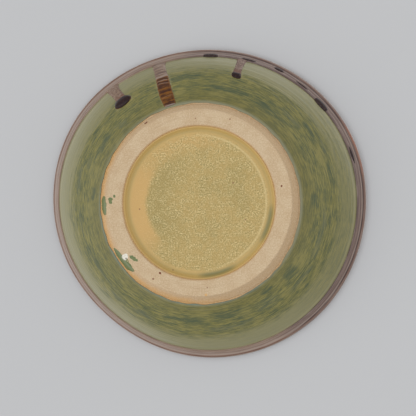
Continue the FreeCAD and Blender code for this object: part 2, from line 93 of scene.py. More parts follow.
class PlateSizes(bpy.types.PropertyGroup):
    """The thrown form's sizes."""

    rim_radius: length(
        "Rim radius", "Widest radius of the lip, over its glaze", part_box("rim_glaze")[1].x
    )
    height: length("Height", "From the table to the top of the lip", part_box("rim_glaze")[1].z)
    floor_radius: length("Floor radius", "Where the flat floor turns into the wall", 36 * MM)
    well_height: length("Well height", "Clay underside of the floor above the table", 4 * MM)
    wall: length("Wall", "Thickness of the clay", 4.8 * MM)
    glaze: length("Glaze", "Thickness of the glaze coats", 0.5 * MM)
    lip_radius: length("Lip bead", "Radius of the clay bead that ends the lip", 2.3 * MM)
    lip_overhang: length("Lip overhang", "How far the lip flares past the wall's top", 5.65 * MM)
    lip_height: length("Lip height", "Height of the lip above the wall's top", 7.7 * MM)
    lip_roll: length("Lip roll", "How far the brown glaze's rolled edge stands out", 0.9 * MM)
    foot_seat: length("Foot seat", "Inner radius of the foot where it meets the floor", 44.4 * MM)
    foot_inner: length("Foot inner edge", "Inner radius of the resting face", 47.2 * MM)
    foot_outer: length("Foot outer edge", "Outer radius of the resting face", 56.5 * MM)
    foot_root: length(
        "Foot root", "Outer radius of the foot where it meets the wall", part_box("foot_ring")[1].x
    )
    foot_edge: length("Foot edge", "Rounding of the resting face's edges", 0.7 * MM)
    well_line: length("Well line", "Height at which the well's glaze stops", 1.2 * MM)
    well_pool: length("Well pool", "Radius of the glaze pooled in the well's corner", 2.6 * MM)
    bare_strip: length("Bare strip", "Bare clay between the foot and the green glaze", 0.9 * MM)
    steps: IntProperty(name="Steps", description="Faces round the plate", default=360, min=24)


class PlateColours(bpy.types.PropertyGroup):
    """The colours of the clay and the glazes."""

    clay: tint("Clay", "Bare fired clay", 201, 178, 145)
    clay_cloud: tint("Clay cloud", "Duller clouds in the clay", 195, 170, 136)
    clay_bevel: tint("Clay bevel", "Clay on the foot's sloping side", 200, 170, 132)
    clay_grit: tint("Clay grit", "Dark grit in the clay", 160, 132, 102)
    clay_chalk: tint("Clay chalk", "Light grit in the clay", 226, 210, 184)
    flashing: tint("Flashing", "Orange blush beside the glaze", 208, 162, 102)
    splash: tint("Splash", "Thin green glaze on the foot", 96, 114, 64)
    iron: tint("Iron", "Specks of iron in the clay", 112, 58, 36)
    green: tint("Green", "The brushed green glaze", 115, 111, 54)
    olive: tint("Olive", "Yellow strokes in the green glaze", 138, 130, 74)
    deep_green: tint("Deep green", "Blue-green strokes in the green glaze", 68, 80, 56)
    blue_green: tint("Blue-green", "Hazy blue-green patches in the green glaze", 86, 94, 74)
    thick_green: tint("Thick green", "Olive green near the foot", 104, 98, 46)
    # A painted reflection: the pale table seen in the glaze, laid on as a paler green.
    pale_sheen_green: tint("Pale green", "The outer wall, where the glaze is milky", 136, 132, 96)
    edge_green: tint("Glaze edge", "Grey-green line where the green glaze begins", 140, 140, 116)
    edge_blue: tint("Blue edge", "The same line where it is thickest", 100, 122, 116)
    halo: tint("Halo", "Pale yellow line beside the brown glaze", 172, 164, 128)
    well: tint("Well", "The yellow-green glaze inside the foot", 174, 148, 84)
    # Painted highlights: the glints of light on the well's crinkled glaze.
    well_glint: tint("Well light", "Pale cells in the well's glaze", 218, 196, 140)
    well_green: tint("Well green", "Green cells in the well's glaze", 128, 118, 58)
    amber: tint("Amber", "Smooth orange-tan glaze near the well's edge", 200, 160, 94)
    pool: tint("Pool", "Glaze pooled in the well's corner", 192, 160, 94)
    pool_green: tint("Green pool", "Green glaze pooled in the well's corner", 112, 112, 68)
    mauve: tint("Mauve", "The lip's matte mauve-brown bloom", 150, 126, 110)
    bloom: tint("Bloom", "Matte brown glaze at the top of the runs", 130, 106, 88)
    brown: tint("Brown", "The lip's brown glaze", 122, 99, 88)
    dark: tint("Dark", "Thick brown glaze", 40, 24, 24)
    plum: tint("Plum", "The lip's brown glaze where it is thick", 88, 68, 64)
    # Also a painted highlight: the pale line on the lip's swell and the glints in the long run;
    # elsewhere the light side of random mottling.
    pearl_and_highlight: tint("Pearl", "Pale line on the lip's swell", 156, 140, 130)
    russet: tint("Russet", "Thin reddish-brown glaze", 108, 72, 56)
    rust: tint("Rust", "Rusty patch on the lip", 142, 78, 44)
    tan: tint("Tan", "The thinnest brown glaze", 146, 122, 100)
    run_amber: tint("Run amber", "Thin glaze in the long run", 122, 76, 18)
    run_dark: tint("Run dark", "Thick glaze in the long run", 58, 26, 12)
    run_tip: tint("Run tip", "Milky end of the long run", 128, 114, 106)
    crumb: tint("Crumb", "The white crumb of clay", 230, 226, 214)
    crumb_dust: tint("Crumb dust", "Dull hollows in the crumb", 186, 174, 150)


class PlateStage(bpy.types.PropertyGroup):
    """The table, the light and the camera."""

    floor: tint("Table", "The plain pale table", 193, 194, 196)
    world_light: share("World light", "Light on the table from all round", 0.56)
    key_light: share("Key light", "Light on the table from the key lamp", 0.32)
    fill_light: share("Fill light", "Light on the table from the fill lamp", 0.12)
    lens: FloatProperty(
        name="Lens", description="The camera's lens", default=94.8, min=1.0, unit="CAMERA"
    )


class PlateSettings(bpy.types.PropertyGroup):
    """Everything about the plate that a user would change."""

    sizes: PointerProperty(type=PlateSizes)
    colours: PointerProperty(type=PlateColours)
    stage: PointerProperty(type=PlateStage)


# The thrown form


# The rim isn't quite round. Each wave has a count round the rim, an amount, and
# the direction of one of its crests.
WAVES = (
    (1, 0.40 * MM, -41.7),
    (2, 1.51 * MM, 17.1),
    (3, 0.73 * MM, -36.9),
    (6, 0.14 * MM, -21.1),
)
# The power by which the waves grow from the foot out to the rim.
WARP_GROWTH = 1.5

# The lip isn't equally wide. Each part has an amount, a direction and how sharply
# it ends.
LIP_WIDTHS = ((-0.65 * MM, 197.0, 4), (0.25 * MM, 315.0, 6))

# The foot's root and the glaze line above it lie further in on one side.
ROOT_SHIFT, ROOT_SWING, ROOT_CREST = -0.8 * MM, 0.9 * MM, math.radians(135.0)


class Form:
    """The form that every piece follows, worked out from the sizes."""

    def __init__(self, sizes):
        self.sizes = sizes
        self.wall_top = sizes.rim_radius - sizes.lip_overhang
        run = self.wall_top - sizes.floor_radius
        rise = sizes.height - sizes.lip_height - sizes.well_height
        # The wall's outside is one arc, level where it leaves the flat floor.
        self.curve = (run**2 + rise**2) / (2 * rise)
        self.centre = Vector((sizes.floor_radius, sizes.well_height + self.curve))
        self.lean = math.asin(run / self.curve)
        inset = sizes.glaze + sizes.lip_radius
        self.bead = Vector((sizes.rim_radius - inset, sizes.height - inset))
        self.glaze_start = sizes.foot_root + sizes.bare_strip
        self.under = -sizes.wall

    def wall(self, x, depth=0.0):
        """A point of the outline, square to the clay's outside at x."""
        share = (x - self.centre.x) / self.curve
        reach = self.curve + depth
        rise = reach * math.sqrt(1 - share**2)
        return Vector((self.centre.x + reach * share, self.centre.y - rise))

    def depth_of(self, x, z):
        """How far a point lies outside the wall's clay."""
        return math.hypot(x - self.centre.x, z - self.centre.y) - self.curve

    def on_wall(self, turn, x, depth):
        """A point in space on the wall, in a direction round the axis."""
        distance, height = self.wall(x, depth)
        return Vector((distance * math.cos(turn), distance * math.sin(turn), height))

    def on_foot(self, turn, distance, lift):
        """A point on the foot's resting face or its sloping side, lifted off it."""
        sizes = self.sizes
        root = self.wall(sizes.foot_root)
        slope = Vector((root.x - sizes.foot_outer, root.y)).normalized()
        beyond = distance - sizes.foot_outer
        spot = Vector((distance, -lift))
        if beyond > 0:
            spot = Vector((distance + lift * slope.y, beyond * slope.y / slope.x - lift * slope.x))
        return Vector((spot.x * math.cos(turn), spot.x * math.sin(turn), spot.y))

    def wall_line(self, first, last, depth, count):
        """An outline along the wall at one depth."""
        return [self.wall(first + (last - first) * n / count, depth) for n in range(count + 1)]

    def lip(self, depth, edge_depth, count):
        """The groove, the bead and the flare of the lip, from outside to inside."""
        outwards = Vector((math.sin(self.lean), -math.cos(self.lean)))
        radius = self.sizes.lip_radius + depth

        def side(surface, turn):
            """The arc tangent to one face of the wall and to the bead."""
            start = self.wall(self.wall_top, surface)
            reach = start - self.bead
            size = (radius**2 - reach.length_squared) / 2 / (reach.dot(outwards) + turn * radius)
            centre = start + outwards * size
            away = (self.bead - centre) * -turn
            return centre, size, math.atan2(away.y, away.x) % FULL_TURN

        wall_turn = math.pi / 2 + self.lean
        centre, size, touch_out = side(edge_depth, -1)
        groove = arc(centre, size, wall_turn, touch_out, count)
        flare_centre, flare_size, touch = side(self.under - depth, 1)
        touch_in = (touch + math.pi) % FULL_TURN
        bead = arc(self.bead, radius, touch_out - math.pi, touch_in, count)
        flare = arc(flare_centre, flare_size, touch_in, wall_turn, count)
        return groove + bead[1:] + flare[1:]

    def shift_root(self, vert, share):
        """Move a vertex along the wall with the foot's root, by a share of its shift."""
        distance = math.hypot(vert.co.x, vert.co.y)
        turn = math.atan2(vert.co.y, vert.co.x)
        shift = share * (ROOT_SHIFT + ROOT_SWING * math.cos(turn - ROOT_CREST))
        slope = (distance - self.centre.x) / (self.centre.y - vert.co.z)
        push_out(vert, shift)
        vert.co.z += shift * slope

    def lip_width(self, turn):
        """How far the lip's outer edge lies from its even width in a direction."""
        return sum(
            amount * max(0.0, math.cos(turn - math.radians(crest))) ** sharpness
            for amount, crest, sharpness in LIP_WIDTHS
        )

    def swell(self, turn):
        """How far the rim stands out of round in a direction."""
        return sum(
            amount * math.cos(count * (turn - math.radians(crest)))
            for count, amount, crest in WAVES
        )


def arc(centre, radius, first, last, count):
    """Points along an arc, from one angle to another."""
    angles = [first + (last - first) * n / count for n in range(count + 1)]
    return [centre + radius * Vector((math.cos(a), math.sin(a))) for a in angles]


def fade(value, none, full):
    """A share that grows evenly from 0 at none to 1 at full."""
    return min(1.0, max(0.0, (value - none) / (full - none)))


def push_out(vert, step):
    """Move a vertex straight away from the wheel's axis."""
    grown = 1 + step / math.hypot(vert.co.x, vert.co.y)
    vert.co.x *= grown
    vert.co.y *= grown


ON_THE_AXIS = 1e-9


def wheel_noise(x, y, across, rings, lobes, seed=0.0):
    """Smooth noise drawn out round the axis: many rings across, few lobes round."""
    distance = max(math.hypot(x, y), ON_THE_AXIS)
    return noise.noise(Vector((x / distance * lobes, y / distance * lobes + seed, across * rings)))


# A turned piece is spun round part of the way, and then doubled until it closes.
DOUBLINGS = 3
MERGE_DISTANCE = 0.001 * MM


def turned(outline, steps, closed):
    """Turn an outline once round the wheel's axis, as one slice that is doubled."""
    bm = bmesh.new()
    verts = [bm.verts.new((point[0], 0.0, point[1])) for point in outline]
    ends = verts[1:] + verts[:1] if closed else verts[1:]
    edges = [bm.edges.new(pair) for pair in zip(verts, ends)]
    slice_angle = FULL_TURN / 2**DOUBLINGS
    bmesh.ops.spin(
        bm, geom=verts + edges, cent=(0, 0, 0), axis=(0, 0, 1), angle=slice_angle,
        steps=steps // 2**DOUBLINGS, use_merge=False, use_duplicate=False,
    )
    for n in range(DOUBLINGS):
        whole = bm.verts[:] + bm.edges[:] + bm.faces[:]
        copy = bmesh.ops.duplicate(bm, geom=whole)["geom"]
        moved = [item for item in copy if isinstance(item, bmesh.types.BMVert)]
        turn = Matrix.Rotation(slice_angle * 2**n, 3, "Z")
        bmesh.ops.rotate(bm, verts=moved, cent=(0, 0, 0), matrix=turn)
    bmesh.ops.remove_doubles(bm, verts=bm.verts, dist=MERGE_DISTANCE)
    return bm


def settle(bm, form):
    """Push a piece out of round, not at all at the foot and fully at the rim."""
    start = form.sizes.foot_root
    for vert in bm.verts:
        distance = math.hypot(vert.co.x, vert.co.y)
        if distance > start:
            turn = math.atan2(vert.co.y, vert.co.x)
            share = ((distance - start) / (form.bead.x - start)) ** WARP_GROWTH
            lip_share = max(0.0, (distance - form.wall_top) / form.sizes.lip_overhang)
            push_out(vert, form.swell(turn) * share + form.lip_width(turn) * lip_share)


def finish_piece(context, name, bm, form, material, node):
    """Turn a bmesh into a piece that stands for a node of the frame."""
    settle(bm, form)
    bmesh.ops.recalc_face_normals(bm, faces=bm.faces)
    mesh = bpy.data.meshes.new(name)
    bm.to_mesh(mesh)
    bm.free()
    mesh.shade_smooth()
    mesh.materials.append(material)
    piece = bpy.data.objects.new(name, mesh)
    context.scene.collection.objects.link(piece)
    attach(piece, "root")
    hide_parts(node)
    return piece


# Materials


class Graph:
    """The nodes of a material or a group, joined as they are added."""

    def __init__(self, tree):
        self.tree = tree

    def put(self, value, socket):
        """Join another node's output to a socket, or set the socket's own value."""
        if isinstance(value, bpy.types.NodeSocket):
            self.tree.links.new(value, socket)
        else:
            socket.default_value = value

    def add(self, kind, inputs=(), **settings):
        """Add a node with its settings, and join or set its inputs."""
        node = self.tree.nodes.new(kind)
        for name, value in settings.items():
            setattr(node, name, value)
        for name, value in dict(inputs).items():
            self.put(value, node.inputs[name])
        return node

    def maths(self, operation, first, second=0.0):
        return self.add("ShaderNodeMath", {0: first, 1: second}, operation=operation).outputs[0]

    def vectors(self, operation, inputs):
        """The outputs of vector maths, which are Vector and Value."""
        return self.add("ShaderNodeVectorMath", inputs, operation=operation).outputs

    def both(self, first, second):
        return self.maths("MULTIPLY", first, second)

    def between(self, value, low, high):
        """A mask that changes smoothly from 0 at low to 1 at high."""
        inputs = {"Value": value, "From Min": low, "From Max": high}
        node = self.add("ShaderNodeMapRange", inputs, interpolation_type="SMOOTHSTEP")
        return node.outputs["Result"]

    def band(self, value, middle, width):
        """A mask that is 1 at a middle value and fades out on both sides."""
        away = self.maths("ABSOLUTE", self.maths("SUBTRACT", value, middle))
        return self.between(away, width, 0.0)

    def swayed(self, value, sway, amount):
        """A value that a noise pushes up and down, by half an amount at most."""
        return self.maths("ADD", value, self.both(self.maths("SUBTRACT", sway, 0.5), amount))

    def mix(self, share, first, second):
        inputs = {0: share, 6: first, 7: second}
        return self.add("ShaderNodeMix", inputs, data_type="RGBA").outputs[2]

    def noise(self, vector, scale, detail=2.0):
        inputs = {"Vector": vector, "Scale": scale, "Detail": detail}
        return self.add("ShaderNodeTexNoise", inputs).outputs[0]

    def group(self, name, build, inputs):
        """Place a shared group, which is built the first time that it is asked for."""
        node = self.add("ShaderNodeGroup")
        node.node_tree = bpy.data.node_groups.get(name) or build(name)
        for socket, value in inputs.items():
            self.put(value, node.inputs[socket])
        return node.outputs


FLOAT, VECTOR = "NodeSocketFloat", "NodeSocketVector"


def new_group(name, inputs, outputs):
    """An empty shader node group with named sockets."""
    tree = bpy.data.node_groups.new(name, "ShaderNodeTree")
    for socket, kind in inputs.items():
        tree.interface.new_socket(socket, in_out="INPUT", socket_type=kind)
    for socket, kind in outputs.items():
        tree.interface.new_socket(socket, in_out="OUTPUT", socket_type=kind)
    graph = Graph(tree)
    return graph, graph.add("NodeGroupInput").outputs, graph.add("NodeGroupOutput").inputs


def wheel_group(name):
    """Where a point is on the wheel, in millimetres, and its direction."""
    outputs = {"Distance": FLOAT, "Height": FLOAT, "Direction": VECTOR}
    graph, given, out = new_group(name, {"Vector": VECTOR}, outputs)
    scaled = graph.vectors("SCALE", {0: given["Vector"], "Scale": 1 / MM})["Vector"]
    x, y, height = graph.add("ShaderNodeSeparateXYZ", {0: scaled}).outputs
    flat = graph.add("ShaderNodeCombineXYZ", {0: x, 1: y}).outputs[0]
    graph.put(graph.vectors("LENGTH", {0: flat})["Value"], out["Distance"])
    graph.put(height, out["Height"])
    graph.put(graph.vectors("NORMALIZE", {0: flat})["Vector"], out["Direction"])
    return graph.tree


def stroke_group(name):
    """Noise drawn out round the axis, as a brush or the wheel leaves it."""
    inputs = {
        "Direction": VECTOR, "Across": FLOAT, "Rings": FLOAT, "Lobes": FLOAT,
        "Seed": FLOAT, "Detail": FLOAT,
    }
    graph, given, out = new_group(name, inputs, {"Value": FLOAT})
    round_axis = graph.vectors("SCALE", {0: given["Direction"], "Scale": given["Lobes"]})["Vector"]
    across = graph.maths("ADD", graph.both(given["Across"], given["Rings"]), given["Seed"])
    lift = graph.add("ShaderNodeCombineXYZ", {2: across}).outputs[0]
    vector = graph.vectors("ADD", {0: round_axis, 1: lift})["Vector"]
    inputs = {"Vector": vector, "Scale": 1.0, "Detail": given["Detail"], "Roughness": 0.6}
    graph.put(graph.add("ShaderNodeTexNoise", inputs).outputs[0], out["Value"])
    return graph.tree


def facing_group(name):
    """A mask for the part of the plate that faces one way round the axis."""
    inputs = {"Direction": VECTOR, "Towards": VECTOR, "Full": FLOAT, "None": FLOAT}
    graph, given, out = new_group(name, inputs, {"Mask": FLOAT})
    facing = graph.vectors("DOT_PRODUCT", {0: given["Direction"], 1: given["Towards"]})["Value"]
    graph.put(graph.between(facing, given["None"], given["Full"]), out["Mask"])
    return graph.tree


def smudge_group(name):
    """A patch drawn out round the axis, with a ragged edge."""
    inputs = {"Facing": FLOAT, "Distance": FLOAT, "Ragged": FLOAT, "Middle": FLOAT, "Width": FLOAT}
    graph, given, out = new_group(name, inputs, {"Mask": FLOAT})
    across = graph.band(given["Distance"], given["Middle"], given["Width"])
    near = graph.both(given["Facing"], across)
    ragged = graph.between(graph.swayed(near, given["Ragged"], 3.4), 0.15, 1.25)
    graph.put(graph.both(ragged, graph.between(near, 0.0, 0.35)), out["Mask"])
    return graph.tree


def spot_group(name):
    """A round spot with an uneven edge."""
    inputs = {"Vector": VECTOR, "Centre": VECTOR, "Radius": FLOAT}
    graph, given, out = new_group(name, inputs, {"Mask": FLOAT})
    away = graph.vectors("DISTANCE", {0: given["Vector"], 1: given["Centre"]})["Value"]
    away = graph.maths("DIVIDE", away, given["Radius"])
    reach = graph.swayed(away, graph.noise(given["Vector"], 1.2 / MM), 1.0)
    graph.put(graph.between(reach, 1.1, 0.7), out["Mask"])
    return graph.tree


class Finish(Graph):
    """A material for one of the plate's finishes, in the wheel's coordinates."""

    def __init__(self, name, colour=None):
        self.material = bpy.data.materials.new(name)
        self.material.use_nodes = True
        super().__init__(self.material.node_tree)
        self.colour = colour
        self.point = self.add("ShaderNodeTexCoord").outputs["Object"]
        place = self.group("Place on the wheel", wheel_group, {"Vector": self.point})
        self.distance, height, self.direction = place
        # The way along an outline, which keeps growing on a steep wall.
        self.across = self.maths("ADD", self.distance, height)

    def lay(self, mask, colour, share=1.0):
        """Lay a colour over the finish where a mask is, and at most by a share."""
        self.colour = self.mix(self.both(mask, share), self.colour, colour)

    def tone(self, colour, value, strength, dark, light):
        """Darken a colour where a noise is low and lighten it where it is high."""
        colour = self.mix(self.both(self.between(value, 0.5, 0.66), strength), colour, light)
        return self.mix(self.both(self.between(value, 0.5, 0.34), strength), colour, dark)

    def strokes(self, across, rings, lobes, seed, detail=2.0):
        """Brush strokes: rings to a millimetre across, and lobes round the axis."""
        inputs = {
            "Direction": self.direction, "Across": across, "Rings": rings, "Lobes": lobes,
            "Seed": seed, "Detail": detail,
        }
        return self.group("Strokes round the wheel", stroke_group, inputs)[0]

    def sector(self, degrees, full, none):
        """A mask that is 1 within full degrees of a direction and 0 beyond none."""
        turn = math.radians(degrees)
        inputs = {
            "Direction": self.direction, "Towards": (math.cos(turn), math.sin(turn), 0.0),
            "Full": math.cos(math.radians(full)), "None": math.cos(math.radians(none)),
        }
        return self.group("Facing", facing_group, inputs)[0]

    def smudge(self, ragged, degrees, spread, middle, width):
        """A mask for a patch, whose edge follows the noise ragged."""
        inputs = {
            "Facing": self.sector(degrees, 0.0, spread), "Distance": self.distance,
            "Ragged": ragged, "Middle": middle, "Width": width,
        }
        return self.group("Smudge", smudge_group, inputs)[0]

    def spot(self, degrees, distance, height, radius):
        """A mask for a round spot, placed and sized in degrees and millimetres."""
        turn = math.radians(degrees)
        centre = Vector((distance * math.cos(turn), distance * math.sin(turn), height)) * MM
        inputs = {"Vector": self.point, "Centre": centre, "Radius": radius * MM}
        return self.group("Spot", spot_group, inputs)[0]

    def ramp(self, value, stops):
        """Colours along a value, given as (value, colour) in order."""
        first, last = stops[0][0], stops[-1][0]
        inputs = {"Value": value, "From Min": first, "From Max": last}
        place = self.add("ShaderNodeMapRange", inputs).outputs["Result"]
        node = self.add("ShaderNodeValToRGB", {0: place})
        elements = node.color_ramp.elements
        while len(elements) < len(stops):
            elements.new(0.5)
        for element, (position, colour) in zip(elements, stops):
            element.position = (position - first) / (last - first)
            element.color = colour
        return node.outputs[0]

    def attribute(self, name):
        return self.add("ShaderNodeAttribute", attribute_name=name).outputs["Fac"]

    def finish(self, roughness, height, strength, distance, ior=1.5):
        """Give the shader its colour, its roughness and a bump as tall as a distance."""
        inputs = {"Strength": strength, "Distance": distance, "Height": height}
        shader = self.tree.nodes["Principled BSDF"]
        self.put(self.colour, shader.inputs["Base Color"])
        self.put(roughness, shader.inputs["Roughness"])
        self.put(self.add("ShaderNodeBump", inputs).outputs[0], shader.inputs["Normal"])
        shader.inputs["IOR"].default_value = ior
        return self.material


# Direction, distance, height and radius, in degrees and millimetres, of the
# specks of iron on the foot, and of an orange spot at its edge.
IRON_SPECKS = (
    (348.8, 51.2, 0.0, 0.62),
    (118.7, 48.7, 0.0, 0.8),
    (120.9, 54.0, 0.0, 0.55),
    (236.0, 58.9, 5.0, 1.4),
    (290.9, 53.8, 0.0, 0.4),
    (268.0, 51.0, 0.0, 0.35),
    (84.0, 51.5, 0.0, 0.35),
)
FLASHED_SPOT = (85.2, 55.9, 0.0, 0.9)


def bare_clay(colours):
    """Bare fired clay: fine grit, wheel lines, iron specks and an orange blush."""
    m = Finish("bare_clay", colours.clay)
    grit = m.noise(m.point, 1.2 / MM, detail=3.0)
    cloud = m.noise(m.point, 0.12 / MM, detail=3.0)
    lines = m.strokes(m.across, rings=2.2, lobes=1.5, seed=3.0, detail=3.0)
    m.lay(m.between(cloud, 0.38, 0.62), colours.clay_cloud)
    m.lay(m.between(m.distance, 55.6, 58.0), colours.clay_bevel)
    near = m.swayed(m.across, cloud, 12.0)
    blush = m.both(m.between(near, 60.0, 69.0), m.sector(150.0, 50.0, 85.0))
    m.lay(blush, colours.flashing, 0.85)
    m.lay(m.between(near, 68.0, 71.0), colours.flashing, 0.3)
    m.lay(m.band(m.distance, 46.6, 0.9), colours.flashing, 0.5)
    m.colour = m.tone(m.colour, grit, 0.25, colours.clay_grit, colours.clay_chalk)
    m.lay(m.between(lines, 0.52, 0.75), colours.clay_grit, 0.3)
    for speck in IRON_SPECKS:
        m.lay(m.spot(*speck), colours.iron)
    m.lay(m.spot(*FLASHED_SPOT), colours.flashing, 0.8)
    relief = m.maths("ADD", grit, m.both(lines, 0.6))
    return m.finish(0.85, relief, 0.5, 0.06 * MM, ior=1.4)


# Patches in the outside glaze: direction, half spread, distance and half width,
# in degrees and millimetres.
DARK_PATCHES = (
    (94.0, 9.0, 73.0, 5.0), (104.0, 9.0, 73.5, 2.0), (122.0, 9.0, 74.0, 1.6),
    (148.0, 14.0, 76.5, 2.2), (172.0, 5.0, 77.0, 2.6), (185.0, 5.0, 67.0, 3.5),
    (211.0, 10.0, 71.0, 3.0), (263.0, 10.0, 79.0, 4.0), (284.0, 18.0, 71.5, 4.0),
    (303.0, 11.0, 70.5, 4.5), (326.0, 6.0, 80.0, 2.4), (348.0, 9.0, 81.0, 2.2),
    (359.0, 5.0, 69.5, 4.5), (38.2, 1.6, 82.0, 1.3), (38.0, 6.0, 69.5, 5.5),
    (53.0, 5.0, 67.5, 3.5), (77.0, 12.0, 71.0, 5.0),
)
BLUE_PATCHES = (
    (118.0, 8.0, 78.5, 4.5), (132.0, 7.0, 79.5, 3.5), (190.0, 9.0, 79.5, 3.0),
    (199.5, 4.5, 75.0, 4.0), (225.0, 4.0, 69.0, 3.0), (317.0, 9.0, 76.0, 2.6),
    (335.0, 4.0, 82.0, 2.2), (15.0, 18.0, 76.0, 3.0), (38.0, 11.0, 77.5, 2.6),
    (56.0, 9.0, 74.0, 5.5), (77.0, 16.0, 79.0, 3.0),
)
YELLOW_PATCHES = (
    (177.0, 6.0, 70.0, 6.0), (195.0, 6.0, 69.0, 8.0), (259.0, 4.5, 69.5, 4.5),
    (279.0, 6.0, 67.0, 3.0), (339.5, 5.0, 79.0, 5.0), (30.0, 7.0, 70.5, 7.0),
    (46.0, 5.0, 76.0, 4.5), (45.0, 5.0, 67.0, 4.0), (67.5, 4.0, 72.0, 6.0),
    (89.0, 5.0, 69.0, 6.5),
)

# The same, of the pale glaze beside the runs.
RUN_HALOS = ((251.9, 3.1, 74.0, 14.0), (231.5, 4.1, 80.2, 3.2), (284.9, 2.0, 82.7, 3.0))

# The side on which the glaze line lies further in.
LINE_TOWARDS = (math.cos(ROOT_CREST), math.sin(ROOT_CREST), 0.0)


def brushed_green(colours, name):
    """Green glaze, brushed on round the wheel."""
    m = Finish(name, colours.green)
    fine = m.strokes(m.across, rings=1.3, lobes=14.0, seed=11.0, detail=3.0)
    finest = m.strokes(m.across, rings=2.6, lobes=9.0, seed=23.0)
    m.broad = m.strokes(m.across, rings=0.22, lobes=6.0, seed=5.0, detail=3.0)
    mottle = m.noise(m.point, 0.35 / MM, detail=4.0)
    for value, strength in ((m.broad, 0.6), (mottle, 0.35), (fine, 0.85), (finest, 0.9)):
        m.colour = m.tone(m.colour, value, strength, colours.deep_green, colours.olive)
    m.relief = m.maths("ADD", fine, m.both(finest, 0.4))
    return m


def outside_green(colours):
    """The outside's green: thick at the foot, patchy, and milky towards the lip."""
    m = brushed_green(colours, "outside_green")
    m.lay(m.between(m.distance, 74.0, 64.0), colours.thick_green, 0.45)
    ragged = m.strokes(m.across, rings=1.0, lobes=9.0, seed=41.0, detail=4.0)
    ring = m.both(m.band(m.distance, 73.0, 10.0), m.between(ragged, 0.5, 0.7))
    m.lay(ring, colours.deep_green, 0.45)
    for patches, strength, colour in (
        (YELLOW_PATCHES, 0.55, colours.olive),
        (BLUE_PATCHES, 0.55, colours.blue_green),
        (DARK_PATCHES, 0.8, colours.deep_green),
    ):
        mask = 0.0
        for patch in patches:
            mask = m.maths("MAXIMUM", m.smudge(ragged, *patch), mask)
        m.lay(mask, colour, strength)
    # Paler green towards the lip: a painted reflection of the pale table in the glaze, weakest on
    # one side.
    thin = m.maths("SUBTRACT", 0.85, m.both(m.sector(357.0, 22.0, 58.0), 0.4))
    m.lay(m.between(m.swayed(m.distance, m.broad, 9.0), 80.5, 88.0), colours.pale_sheen_green, thin)
    m.lay(m.band(m.distance, 94.0, 1.2), colours.halo, 0.3)
    for degrees, half, middle, width in RUN_HALOS:
        beside = m.both(m.sector(degrees, half, half + 0.9), m.band(m.distance, middle, width))
        m.lay(beside, colours.halo, 0.35)
    # The line where the green glaze begins is grey-green, and blue where it is thick.
    inwards = m.vectors("DOT_PRODUCT", {0: m.direction, 1: LINE_TOWARDS})["Value"]
    line = m.maths("SUBTRACT", m.distance, m.both(inwards, ROOT_SWING / MM))
    strength = m.maths("ADD", m.both(m.sector(320.0, 55.0, 100.0), 0.5), 0.3)
    m.lay(m.between(line, 64.2, 61.9), colours.edge_green, strength)
    blue = m.both(m.between(line, 62.5, 62.1), m.sector(120.0, 55.0, 95.0))
    m.lay(blue, colours.edge_blue, 0.6)
    return m.finish(0.3, m.relief, 0.35, 0.08 * MM)


def inside_green(colours):
    """The inside's green: pooled in the floor and thinner on the throwing rings."""
    m = brushed_green(colours, "inside_green")
    rings = m.strokes(m.across, rings=0.4, lobes=0.7, seed=9.0, detail=1.0)
    m.colour = m.tone(m.colour, rings, 0.6, colours.deep_green, colours.olive)
    m.lay(m.between(m.distance, 44.0, 20.0), colours.thick_green, 0.45)
    # Paler towards the lip, with the outside's painted reflection tint.
    m.lay(m.between(m.distance, 72.0, 90.0), colours.pale_sheen_green, 0.6)
    bleed = m.between(m.maths("ADD", m.distance, m.both(m.broad, 4.0)), 91.5, 95.0)
    m.lay(bleed, colours.tan, 0.8)
    return m.finish(0.2, m.relief, 0.3, 0.08 * MM)


def splash_green(colours):
    """Thin translucent splashes of the green glaze."""
    m = brushed_green(colours, "splash_green")
    m.lay(0.7, colours.splash)
    return m.finish(0.25, m.relief, 0.2, 0.05 * MM)


# Directions of the green pools in the well's corner, and direction, distance,
# height and radius, in degrees and millimetres, of the specks of iron in it.
GREEN_POOLS = (17.0, 75.0)
WELL_SPECKS = (
    (173.9, 36.9, 3.5, 0.5),
    (111.3, 44.0, 3.5, 0.5),
    (20.0, 30.0, 3.5, 0.5),
    (330.0, 24.0, 3.5, 0.5),
)


